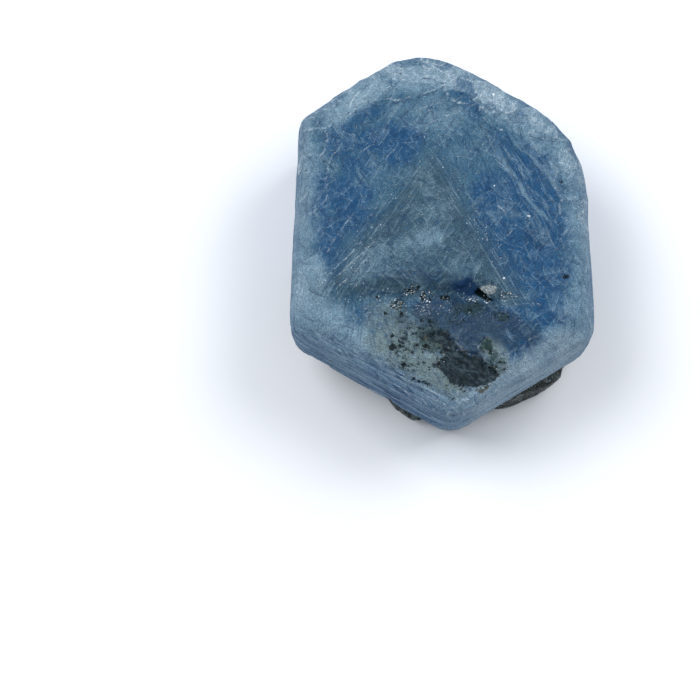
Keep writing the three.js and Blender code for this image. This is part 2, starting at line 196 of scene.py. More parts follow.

# Healed cracks, and edges that catch the light, drawn as bright lines: pale cracks and painted highlights.
BRIGHT_STROKES = [
    [(-4.21, 7.74), (-3.39, 7.81), (-2.63, 7.68), (-1.86, 7.81), (-1.03, 7.97), (-0.26, 8.47), (0.31, 8.8)],
    [(-1.6, 6.96), (-0.59, 7.36), (-0.01, 7.62)],
    [(-0.82, 6.27), (0.3, 6.69), (1.18, 7.18)],
    [(-5.73, 6.96), (-5.32, 7.6), (-4.91, 8.2)],
    [(-6.69, 3.89), (-6.31, 4.61), (-5.93, 5.19), (-5.73, 5.58)],
    [(-4.78, 4.54), (-4.4, 4.87), (-3.9, 5.07)],
    [(-5.42, 5.72), (-4.78, 5.67)],
    [(-3.34, 3.99), (-2.99, 4.47), (-2.69, 4.71)],
    [(-6.74, -1.57), (-6.25, -0.79), (-5.67, 0.1), (-5.27, 0.88)],
    [(-7.31, 0.23), (-7.13, -0.2), (-6.93, -0.55)],
    [(-6.11, -3.82), (-5.9, -4.28), (-5.67, -4.78)],
    [(-6.31, -3.1), (-5.27, -2.04), (-3.99, -0.91)],
    [(-5.96, -3.52), (-4.92, -2.39), (-3.7, -1.15)],
    [(-6.49, -2.75), (-5.62, -1.74), (-4.69, -0.85)],
    [(-8.31, 5.73), (-7.84, 5.67), (-7.37, 5.97)],
    [
        (0.66, 8.51), (1.07, 8.38), (1.4, 8.51), (1.67, 8.16), (2.2, 7.54), (2.26, 6.84),
        (2.6, 6.43), (3.06, 6.15), (3.53, 5.95), (3.74, 6.15),
    ],
    [(-1.33, 8.93), (-1.1, 9.35), (-0.57, 9.26), (-0.22, 9.05), (0.25, 8.99), (0.55, 8.87)],
    [(3.94, 6.43), (4.16, 6.15), (4.34, 5.98)],
    [(7.12, 2.85), (7.74, 2.19), (8.31, 1.41)],
    [(4.35, 0.28), (4.04, -0.08), (3.75, -0.47)],
    [(3.18, 1.29), (3.64, 0.7), (4.16, 0.34)],
    [(8.13, -1.76), (7.79, -2.1), (8.31, -2.72)],
    [(1.6, 0.64), (2.01, 0.1), (2.52, -0.61)],
    [(3.33, -4.34), (4.32, -4.52), (5.54, -4.46)],
    [(0.53, -6.02), (0.79, -6.7), (1.25, -7.24), (1.72, -7.31)],
    [(1.93, -6.91), (2.6, -6.29)],
    [(2.14, -10.22), (3.48, -9.46), (5.23, -8.64), (6.57, -7.87), (7.92, -7.28)],
    [(1.59, -10.77), (2.87, -10.01), (4.04, -9.42)],
    [(8.15, -7.17), (7.62, -7.52), (6.92, -7.81)],
    [(6.48, 4.65), (7.23, 4.05), (7.75, 3.33)],
    [(0.69, -10.9), (2.3, -10.0), (3.7, -9.0), (4.93, -8.14)],
    [(1.3, -10.95), (2.9, -10.0), (4.3, -9.1), (5.0, -8.5)],
    [(-4.9, -8.9), (-3.4, -9.75), (-1.9, -10.5)],
]

# The lip of the large chip on the rim, and the edge of the outer terrace.
CHIP_EDGE = [
    (0.66, 8.51), (1.54, 8.2), (2.15, 7.48), (2.21, 6.8), (2.56, 6.37), (3.05, 6.09), (3.6, 5.95),
]
TERRACE_EDGE = [(4.7, 0.85), (5.02, 0.35), (5.87, -1.02), (6.92, -2.45), (7.25, -2.98), (7.51, -3.4)]

# Painted shade: dark lines along the shaded sides of edges and steps, most of them beside a bright stroke,
# and a few dark cracks.
DARK_STROKES = [
    TERRACE_EDGE,
    [(1.83, 0.49), (2.24, -0.02), (2.64, -0.61)],
    [(0.78, 8.38), (1.54, 8.05), (2.09, 7.42), (2.16, 6.75), (2.52, 6.31), (3.05, 6.03), (3.51, 5.82)],
    [(-1.27, 9.05), (-1.04, 9.2), (-0.57, 9.14), (-0.22, 8.93), (0.25, 8.84)],
    [(-3.39, 7.69), (-2.63, 7.54), (-1.87, 7.67), (-1.03, 7.84), (-0.26, 8.32), (0.31, 8.63)],
    [(3.84, 6.36), (4.21, 5.88)],
    [(-5.79, -3.4), (-5.32, -3.31), (-4.92, -3.19)],
    [(-2.05, -8.65), (-1.62, -8.83), (-1.1, -8.95), (-0.69, -9.12)],
    [(-4.17, -4.17), (-3.65, -4.19)],
    [(6.98, 2.73), (7.62, 2.07), (8.19, 1.23)],
    [(1.91, -10.4), (3.31, -9.67), (5.11, -8.81), (6.51, -8.05)],
    [(1.09, -11.0), (2.6, -10.15), (4.1, -9.2), (5.04, -8.6)],
    [(-5.0, -8.6), (-3.4, -9.5), (-1.8, -10.3), (-0.6, -10.9)],
]

# The bruised band along the rim, by direction from the axis in degrees.
RIM_WEAR = {
    "angle": [-175, -130, -100, -85, -60, -30, -10, 15, 35, 55, 72, 84, 95, 110, 140, 158, 170],
    "width": [0.35, 0.2, 0.3, 0.9, 0.9, 0.7, 0.6, 1.0, 1.5, 1.4, 1.9, 1.6, 1.1, 0.8, 0.75, 0.7, 0.4],
    "strength": [0.4, 0.3, 0.3, 0.5, 0.6, 0.4, 0.4, 0.7, 0.8, 0.8, 1.0, 1.0, 1.0, 0.75, 0.7, 0.6, 0.45],
}

# The small chips along the rim: how many, and their smallest and largest radius.
CHIPS = 460
CHIP_SIZES = (0.30, 1.25)
CHIP_TOP = 10.3  # the highest chips lie here
CHIP_DROP = 2.6  # and the lowest this far under them
CHIP_TURN = 9.6  # below this height a chip bites the side faces

# A patch of slanting streaks, in the same terms as the pools.
SLANTED_STREAKS = (5.1, 2.9, 2.7, 1.3, -65, 1.0)

# Single dark flecks of mica: x, y, radius.
FLECKS = [
    (2.79, -3.55, 0.09), (-2.0, -3.72, 0.11), (-1.2, -4.05, 0.1), (-2.65, -4.62, 0.12),
    (0.1, -4.12, 0.14), (-2.39, 9.6, 0.09), (-8.07, 3.63, 0.07), (-8.33, 3.59, 0.06),
    (-8.03, -2.34, 0.06), (-7.34, -3.94, 0.07), (-7.22, -4.07, 0.06), (-4.41, -2.16, 0.08),
    (6.92, 2.94, 0.13), (7.12, -2.81, 0.17), (7.49, -3.37, 0.07), (-3.35, -4.98, 0.1),
    (-2.42, -5.01, 0.14), (-2.96, -6.25, 0.13), (-2.93, -6.94, 0.21), (-2.42, -6.89, 0.14),
    (-2.25, -7.04, 0.09), (-1.58, -6.82, 0.13), (-0.98, -6.86, 0.15), (-2.28, -7.98, 0.19),
    (-1.97, -8.1, 0.1), (-1.14, -7.85, 0.1), (-0.52, -7.98, 0.14), (-1.26, -5.39, 0.13),
    (-0.79, -5.45, 0.13), (-1.74, -8.78, 0.12), (-1.39, -8.9, 0.13), (-0.87, -9.07, 0.09),
    (0.54, -9.9, 0.09), (-2.6, -7.22, 0.09), (2.82, -3.6, 0.07), (2.7, -7.28, 0.14),
    (-2.02, -6.28, 0.07), (-1.78, -5.92, 0.06), (-3.81, -4.05, 0.09), (-1.48, -3.61, 0.12),
    (-1.83, -3.73, 0.1), (-0.09, -4.03, 0.13), (0.26, -4.06, 0.13), (-0.96, -3.55, 0.08),
    (-0.79, -4.09, 0.08), (-2.47, -4.09, 0.08), (-1.56, -8.84, 0.09), (-1.2, -8.97, 0.1),
    (-1.03, -9.02, 0.09), (-1.95, -8.7, 0.06), (-0.72, -9.1, 0.06), (-1.0, -8.62, 0.05),
    (2.5, -7.1, 0.08), (2.75, -8.1, 0.1), (-2.6, -7.5, 0.06),
]

# Single glints, in the same terms.
GLINTS = [
    (1.54, -4.21, 0.07), (1.79, -4.24, 0.094), (2.04, -4.15, 0.062), (2.26, -4.17, 0.055),
    (2.47, -4.3, 0.062), (2.62, -4.29, 0.062), (2.78, -4.3, 0.055), (3.48, -4.26, 0.07),
    (3.52, -3.02, 0.086), (-4.34, 0.04, 0.062), (-5.15, -0.85, 0.055), (-4.76, -1.95, 0.07),
    (-5.2, -2.16, 0.062), (-5.26, -2.98, 0.055), (-4.63, -3.37, 0.062), (-1.8, -2.79, 0.062),
    (3.0, 2.54, 0.078), (3.78, 3.51, 0.062), (5.02, 0.79, 0.117), (4.81, 0.88, 0.07),
    (4.56, 1.41, 0.062), (2.83, -2.07, 0.07), (3.48, -3.05, 0.094), (3.69, -2.24, 0.055),
    (6.15, -3.79, 0.07), (4.8, -5.23, 0.07), (4.34, -5.19, 0.047), (1.98, -6.98, 0.078),
    (2.59, 0.88, 0.047), (-0.85, 6.18, 0.07), (-1.05, 5.4, 0.062), (-0.11, 6.87, 0.07),
    (-0.05, 7.69, 0.062), (-3.02, 4.56, 0.062), (-1.7, 4.83, 0.047), (0.6, 7.57, 0.062),
    (2.35, 6.93, 0.07), (2.44, 6.63, 0.07), (3.06, 8.23, 0.117), (3.36, 8.38, 0.07),
    (1.31, 9.17, 0.062), (1.43, 0.58, 0.047), (1.83, -0.31, 0.055), (6.42, 4.23, 0.055),
    (-0.19, -3.49, 0.055), (0.18, -3.52, 0.055), (0.26, -3.97, 0.062), (0.46, -4.03, 0.055),
    (1.57, -4.11, 0.07), (1.8, -4.14, 0.078), (2.06, -4.15, 0.055), (2.41, -4.21, 0.047),
    (2.64, -4.23, 0.047), (-3.87, -3.61, 0.047), (-3.35, -3.46, 0.047), (-0.76, -4.77, 0.055),
    (-0.33, -4.98, 0.055), (-2.18, -4.15, 0.062), (-1.14, -4.33, 0.062), (-1.83, -3.73, 0.07),
    (-0.73, -3.73, 0.078), (-1.08, -4.09, 0.07), (-2.94, -4.09, 0.062), (-2.59, -4.33, 0.055),
    (3.46, -4.09, 0.07), (3.51, -4.27, 0.055), (4.15, -4.44, 0.047), (5.42, -5.92, 0.047),
    (-8.07, 5.85, 0.047), (-5.79, -3.46, 0.047),
]

# How far the crust reaches towards -Y, from -X to +X.
CRUST_RIM = [
    (-7.2, -6.6), (-5.0, -7.4), (-3.6, -7.95), (-3.1, -8.35), (-2.9, -8.66), (-2.6, -9.1),
    (-2.34, -9.42), (-2.03, -9.68), (-1.55, -9.95), (-1.06, -10.1), (-0.6, -10.2), (1.0, -9.0),
    (2.5, -9.0), (3.03, -9.05), (3.58, -9.03), (4.07, -8.98), (4.62, -8.78), (5.17, -8.52),
    (5.78, -8.3), (6.39, -8.05), (6.89, -7.68), (7.32, -7.3), (7.81, -6.84), (8.4, -6.1),
]
SEAM = 0.42  # the crust is drawn to the crystal where it is nearer than this
SEAM_BITE = 0.05  # and then goes this far into it
RIM_DRAW = 0.85  # the share by which what reaches past the rim is drawn back
RIM_SHIFT = 0.8  # over at most this length
CRUST_DIP = 0.36  # depth of the worn dip on the +X side

# ---- The stage, in metres ----

FLOOR_REACH = 3.0
LAMP_SIZE = 0.22
LAMPS = [  # name, place, share of the power
    ("lamp_left", (-0.20, 0.10, 0.36), 1.0),
    ("lamp_right", (0.22, 0.14, 0.34), 0.9),
]
AIR_COLOUR = (0.90, 0.95, 1.0, 1.0)
EYE = (-0.00538, -0.03660, 0.17682)
EYE_TILT = math.radians(10)
LENS_MM = 151.6
SENSOR_MM = 36


# ---- Settings a user would change ----


def colour(name, description, value):
    return bpy.props.FloatVectorProperty(
        name=name, description=description, default=value, size=3, subtype="COLOR", min=0, max=1
    )


def length(name, description, value):
    return bpy.props.FloatProperty(
        name=name, description=description, default=value * MM, unit="LENGTH", precision=6
    )


def amount(name, description, value):
    return bpy.props.FloatProperty(
        name=name, description=description, default=value, min=0, max=1, subtype="FACTOR"
    )


class CrystalSettings(bpy.types.PropertyGroup):
    """Sizes and colours of the sapphire."""

    cell: length("Mesh cell", "Spacing of the fine mesh", 0.123)
    silk: colour("Silky blue", "The crystal's everyday colour", (0.034, 0.096, 0.160))
    deep: colour("Deep blue", "Colour of the clearer pools", (0.007, 0.056, 0.138))
    ink: colour("Ink", "Colour of the darkest clear places", (0.006, 0.028, 0.085))
    pale: colour("Pale blue", "Colour of the milky places", (0.135, 0.225, 0.300))
    murk: colour("Murk", "Grey-green colour of the stained places", (0.120, 0.168, 0.176))
    # Dusk is the colour of the painted shade on the step.
    dusk: colour("Dusk", "Colour of the step's dim floor", (0.015, 0.036, 0.066))
    frost: colour("Frost", "Colour of the bruised rim", (0.175, 0.262, 0.335))
    chalk: colour("Chalk", "Colour of fresh chips and of the brightest cracks", (0.46, 0.55, 0.62))
    haze: colour("Grey haze", "Colour inside the growth triangle", (0.030, 0.068, 0.100))
    side: colour("Side", "Colour of the prism faces", (0.082, 0.150, 0.250))
    veil: colour("Veil", "Colour of the healed cracks", (0.23, 0.34, 0.42))
    olive: colour("Olive stain", "Colour of weathered mica", (0.009, 0.030, 0.030))
    mica: colour("Mica", "Colour of the mica set in the step", (0.009, 0.018, 0.026))
    slate: colour("Slate", "Colour of the mica's paler flakes", (0.036, 0.058, 0.074))
    # Soot also paints the open crevice black, as painted shade in its depth.
    soot: colour("Soot", "Colour of the black flecks and gaps", (0.000, 0.006, 0.008))
    tan: colour("Tan", "Colour of the fringe round the mica", (0.15, 0.14, 0.10))
    ochre: colour("Ochre", "Colour of the rusty spot", (0.058, 0.050, 0.018))
    sand: colour("Sand", "Colour of the loose grains", (0.36, 0.30, 0.17))
    flake: colour("Flake", "Colour of the pale flake beside the crevice", (0.30, 0.35, 0.36))
    dull: colour("Dull base", "Colour of the broken underside", (0.070, 0.105, 0.135))
    spark: colour("Spark", "Colour of the glints", (0.80, 0.86, 0.90))
    gloss: amount("Roughness", "Roughness of the crystal faces", 0.42)


class CrustSettings(bpy.types.PropertyGroup):
    """Sizes and colours of the mica rock."""

    cell: length("Mesh cell", "Spacing of the fine mesh", 0.1)
    grain: length("Grain", "Size of the rock's grains", 0.38)
    rock: colour("Rock", "The rock's main colour", (0.016, 0.030, 0.032))
    light: colour("Light grain", "Colour of the paler grains", (0.075, 0.108, 0.112))
    dark: colour("Dark grain", "Colour of the darkest grains", (0.003, 0.006, 0.006))
    rust: colour("Rust", "Colour of the weathered places", (0.040, 0.036, 0.018))
    fleck: colour("Fleck", "Colour of the small bright flakes", (0.30, 0.32, 0.28))


class StageSettings(bpy.types.PropertyGroup):
    """The floor, the lights and the camera."""

    floor: colour("Floor", "Colour of the floor", (0.90, 0.92, 0.97))
    air: bpy.props.FloatProperty(name="Air", description="Strength of the even light", default=0.47, min=0)
    lamps: bpy.props.FloatProperty(
        name="Lamps", description="Power of the two soft lamps", default=1.0, min=0, unit="POWER"
    )


# ---- Arithmetic on points ----

NOISE_TABLE = 8192
NOISE_PRIMES = np.array([73856093, 19349663, 83492791])
FAR = 9.0  # a distance that stands for nowhere near
MEAN_RADIUS = 9.5  # turns a direction from the axis into a length round the crystal
GROWTH_BAND = 1.05  # height of one growth band on the front side


def smooth(low, high, value):
    """0 at low, 1 at high, smooth between. Low may be above high."""
    t = np.clip((value - low) / (high - low), 0, 1)
    return t * t * (3 - 2 * t)


def lattice_noise(points, seed):
    """Smooth noise from -1 to 1 with cells one unit across, the same on every run."""
    table = np.random.default_rng(seed).uniform(-1, 1, NOISE_TABLE)
    cell = np.floor(points).astype(np.int64)
    part = points - cell
    part = part * part * (3 - 2 * part)
    total = np.zeros(len(points))
    for corner in np.ndindex(2, 2, 2):
        at = cell + np.array(corner)
        keys = at * NOISE_PRIMES
        place = (keys[:, 0] ^ keys[:, 1] ^ keys[:, 2]) & (NOISE_TABLE - 1)
        weight = np.where(np.array(corner) == 1, part, 1 - part).prod(axis=1)
        total += table[place] * weight
    return total


def roughness(points, size, seed, layers=3):
    """Layered noise, about -1 to 1, whose largest lumps are size across."""
    size = np.asarray(size, float)
    total = np.zeros(len(points))
    for layer in range(layers):
        total += lattice_noise(points / size * 2**layer + 17.3 * layer, seed + layer) / 2**layer
    return total / 1.5


def to_strokes(points, strokes):
    """Distance in plan from each point to the nearest of some open strokes."""
    best = np.full(len(points), 1e9)
    for stroke in strokes:
        for start, end in zip(stroke, stroke[1:]):
            best = np.minimum(best, to_segment(points, start, end))
    return best


def to_segment(points, start, end):
    """Distance in plan from each point to one straight piece of a stroke."""
    start, end = np.array(start), np.array(end)
    along = end - start
    share = np.clip(((points[:, :2] - start) @ along) / (along @ along), 0, 1)
    return np.linalg.norm(points[:, :2] - start - share[:, None] * along, axis=1)


def into_outline(points, outline):
    """Signed distance in plan to a closed outline, positive inside it."""
    ring = list(outline) + [outline[0]]
    inside = np.zeros(len(points), bool)
    x, y = points[:, 0], points[:, 1]
    for (x0, y0), (x1, y1) in zip(ring, ring[1:]):
        if y0 != y1:
            crosses = ((y0 > y) != (y1 > y)) & (x < (x1 - x0) * (y - y0) / (y1 - y0) + x0)
            inside ^= crosses
    distance = to_strokes(points, [ring])
    return np.where(inside, distance, -distance)


def in_patches(points, patches):
    """How deep each point lies in soft oval patches, 0 to the patch's own strength."""
    total = np.zeros(len(points))
    for x, y, long, wide, turn, strength in patches:
        c, s = math.cos(math.radians(turn)), math.sin(math.radians(turn))
        dx, dy = points[:, 0] - x, points[:, 1] - y
        reach = np.hypot((dx * c + dy * s) / long, (dy * c - dx * s) / wide)
        total = np.maximum(total, strength * smooth(1.55, 0.45, reach))
    return total


def into_flecks(points, flecks):
    """Signed distance in plan into the nearest of some small angular flecks, positive inside."""
    draw = np.random.default_rng(6)
    best = np.full(len(points), -1e9)
    for x, y, radius in flecks:
        turn, long = draw.uniform(0, math.pi), draw.uniform(1.0, 1.7)
        dx, dy = points[:, 0] - x, points[:, 1] - y
        u = np.abs(dx * math.cos(turn) + dy * math.sin(turn)) / long
        v = np.abs(dy * math.cos(turn) - dx * math.sin(turn))
        best = np.maximum(best, radius - 0.52 * (np.hypot(u, v) + u + v))
    return best


def wandered(points):
    """The points pushed about a little in plan, so that outlines drawn through them wander."""
    moved = points.copy()
    for axis in (0, 1):
        broad, fine = roughness(points, 0.9, 31 + axis), roughness(points, 0.28, 41 + axis)
        moved[:, axis] += 0.16 * broad + 0.05 * fine
    return moved


def into_prism(points):
    """How far inside the nearest prism face each point is."""
    reach = []
    for direction, distance in PRISM_FACES:
        a = math.radians(direction)
        reach.append(
            distance - (points[:, 0] - AXIS[0]) * math.cos(a) - (points[:, 1] - AXIS[1]) * math.sin(a)
        )
    return np.min(reach, axis=0)


def triangle_corners():
    """The corners of the growth triangle in plan."""
    corners = []
    for k in range(3):
        a = math.pi / 2 + k * 2 * math.pi / 3
        x, y = TRIANGLE_RADIUS * math.cos(a), TRIANGLE_RADIUS * TRIANGLE_FLATTEN * math.sin(a)
        c, s = math.cos(TRIANGLE_TURN), math.sin(TRIANGLE_TURN)
        corners.append((TRIANGLE_CENTRE[0] + x * c - y * s, TRIANGLE_CENTRE[1] + x * s + y * c))
    return corners


def bruised(points, surface):
    """Many small chips bitten out along the rim.

    Gives how deep each point lies in a bite, the creases between bites, and each chip's tone.
    """
    draw = np.random.default_rng(5)
    near = np.flatnonzero((into_prism(points) < 3.0) & (points[:, 2] > 5.5))
    close = points[near]
    deepest, second = np.zeros(len(near)), np.full(len(near), -FAR)
    slope, second_slope = np.zeros((len(near), 3)), np.zeros((len(near), 3))
    tones = np.full(len(near), 0.5)
    for _ in range(CHIPS):
        angle = draw.uniform(-180, 180)
        strength = np.interp(angle, RIM_WEAR["angle"], RIM_WEAR["strength"], period=360)
        width = np.interp(angle, RIM_WEAR["angle"], RIM_WEAR["width"], period=360)
        size = CHIP_SIZES[0] + (CHIP_SIZES[1] - CHIP_SIZES[0]) * draw.random() ** 2
        inset, own_tone = draw.uniform(-0.1, 1.0) * width, draw.random()
        way = np.array([math.cos(math.radians(angle)), math.sin(math.radians(angle))])
        to_face = min(
            distance / max(math.cos(math.radians(angle - direction)), 1e-3)
            for direction, distance in PRISM_FACES
            if math.cos(math.radians(angle - direction)) > 0
        )
        x, y = AXIS + way * (to_face - inset)
        height = CHIP_TOP - CHIP_DROP * draw.random() * (strength > 0.45)
        if height < CHIP_TURN:
            x, y = AXIS + way * (to_face + 0.5)
        away = close - np.array(surface.find_nearest((x, y, height))[0])
        depth = 0.12 * size * (0.35 + 0.65 * strength)
        bite = depth * (1 - (away**2).sum(axis=1) / size**2)
        own_slope = -2 * depth / size**2 * away
        wins = bite > deepest
        runs_up = ~wins & (bite > second)
        second = np.where(wins, deepest, np.where(runs_up, bite, second))
        second_slope = np.where(wins[:, None], slope, np.where(runs_up[:, None], own_slope, second_slope))
        deepest, slope = np.where(wins, bite, deepest), np.where(wins[:, None], own_slope, slope)
        tones[wins] = own_tone
    crease = np.linalg.norm(slope - second_slope, axis=1)
    creases = smooth(0.07, 0.0, (deepest - second) / np.maximum(crease, 1e-3)) * smooth(0.05, 0.25, crease)
    bites, ridge, tone = np.zeros(len(points)), np.zeros(len(points)), np.full(len(points), 0.5)
    bites[near], ridge[near], tone[near] = deepest, creases, tones
    return bites, ridge, tone


def beside(points, stroke):
    """Signed distance in plan to an open stroke, positive on its left."""
    best, side = np.full(len(points), 1e9), np.ones(len(points))
    for start, end in zip(stroke, stroke[1:]):
        distance = to_segment(points, start, end)
        cross = (end[0] - start[0]) * (points[:, 1] - start[1]) - (end[1] - start[1]) * (
            points[:, 0] - start[0]
        )
        nearer = distance < best
        best = np.where(nearer, distance, best)
        side = np.where(nearer, np.sign(cross), side)
    return best * side


# ---- Meshes ----


def node_surface(name):
    """A CAD node's surface in millimetres, ready for nearest-point questions."""
    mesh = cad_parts[name].data
    mesh.calc_loop_triangles()
    points = np.empty(len(mesh.vertices) * 3)
    mesh.vertices.foreach_get("co", points)
    corners = np.empty(len(mesh.loop_triangles) * 3, np.int32)
    mesh.loop_triangles.foreach_get("vertices", corners)
    return BVHTree.FromPolygons(
        (points.reshape(-1, 3) / MM).tolist(), corners.reshape(-1, 3).tolist()
    )


def fine_skin(name, cell):
    """An even, fine mesh over a CAD node, in millimetres."""
    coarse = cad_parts[name].data.copy()
    coarse.transform(Matrix.Scale(1 / MM, 4))
    carrier = bpy.data.objects.new("carrier", coarse)
    bpy.context.scene.collection.objects.link(carrier)
    skinner = carrier.modifiers.new("skin", "REMESH")
    skinner.mode = "VOXEL"
    skinner.voxel_size = cell
    graph = bpy.context.evaluated_depsgraph_get()
    skin = bpy.data.meshes.new_from_object(carrier.evaluated_get(graph))
    bpy.data.objects.remove(carrier)
    bpy.data.meshes.remove(coarse)
    return skin


def points_of(mesh):
    """A mesh's points, one to a row."""
    points = np.empty(len(mesh.vertices) * 3)
    mesh.vertices.foreach_get("co", points)
    return points.reshape(-1, 3)


def normals_of(mesh, points):
    """The directions in which a mesh faces once its points are these."""
    mesh.vertices.foreach_set("co", points.ravel())
    mesh.update()
    normals = np.empty(len(mesh.vertices) * 3)
    mesh.vertex_normals.foreach_get("vector", normals)
    return normals.reshape(-1, 3)


def snapped(points, surface):
    """The points moved onto a surface."""
    return np.array([surface.find_nearest(p)[0] for p in points.tolist()])


def relaxed(mesh, points, rounds, share=0.5):
    """The points eased towards their neighbours, which wears the edges."""
    edges = np.empty(len(mesh.edges) * 2, np.int32)
    mesh.edges.foreach_get("vertices", edges)
    a, b = edges.reshape(-1, 2).T
    count = np.bincount(a, minlength=len(points)) + np.bincount(b, minlength=len(points))
    for _ in range(rounds):
        mean = np.empty_like(points)
        for axis in range(3):
            total = np.bincount(a, points[b, axis], len(points))
            total = total + np.bincount(b, points[a, axis], len(points))
            mean[:, axis] = total / count
        points = points + share * (mean - points)
    return points


def eased(mesh, points):
    """The top's creases worn away here and there, so that none runs on unbroken."""
    worn = relaxed(mesh, points, 60)
    inward = into_prism(points)
    share = smooth(-0.5, 0.25, roughness(points, 1.6, 11))
    share = np.maximum(share, smooth(-0.6, -2.4, points[:, 0]) * smooth(-2.6, -3.4, points[:, 1]))
    share *= smooth(1.2, 2.4, inward) * smooth(8.4, 9.0, points[:, 2])
    points = points + share[:, None] * (worn - points)
    filled = relaxed(mesh, worn, 240)
    share = smooth(-0.8, -0.1, into_outline(points, NOTCH)) * smooth(8.0, 8.6, points[:, 2])
    return points + share[:, None] * (filled - points)


def boxed(points, node):
    """The points kept inside a CAD node's own box."""
    low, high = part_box(node)
    return np.clip(points, np.array(low) / MM, np.array(high) / MM)


def finished_piece(name, mesh, points, marks, material, node):
    """The mesh as an object of the model, with its marks as attributes for the material."""
    mesh.name = name
    mesh.vertices.foreach_set("co", (points * MM).ravel())
    for mark, values in marks.items():
        layer = mesh.attributes.new(mark, "FLOAT", "POINT")
        layer.data.foreach_set("value", np.asarray(values, np.float32))
    mesh.polygons.foreach_set("use_smooth", np.ones(len(mesh.polygons), bool))
    mesh.materials.clear()
    mesh.materials.append(material)
    mesh.update()
    piece = bpy.data.objects.new(name, mesh)
    bpy.context.scene.collection.objects.link(piece)
    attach(piece, "root")
    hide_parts(node)
    return piece


# ---- Materials ----


class Wire:
    """A number, colour or vector on its way through a material's nodes."""

    def __init__(self, bench, socket):
        self.bench = bench
        self.socket = socket

    def __add__(self, other):
        return self.bench.math("ADD", self, other)

    __radd__ = __add__

    def __sub__(self, other):
        return self.bench.math("SUBTRACT", self, other)

    def __rsub__(self, other):
        return self.bench.math("SUBTRACT", other, self)

    def __mul__(self, other):
        return self.bench.math("MULTIPLY", self, other)

    __rmul__ = __mul__

    def __abs__(self):
        return self.bench.math("ABSOLUTE", self)


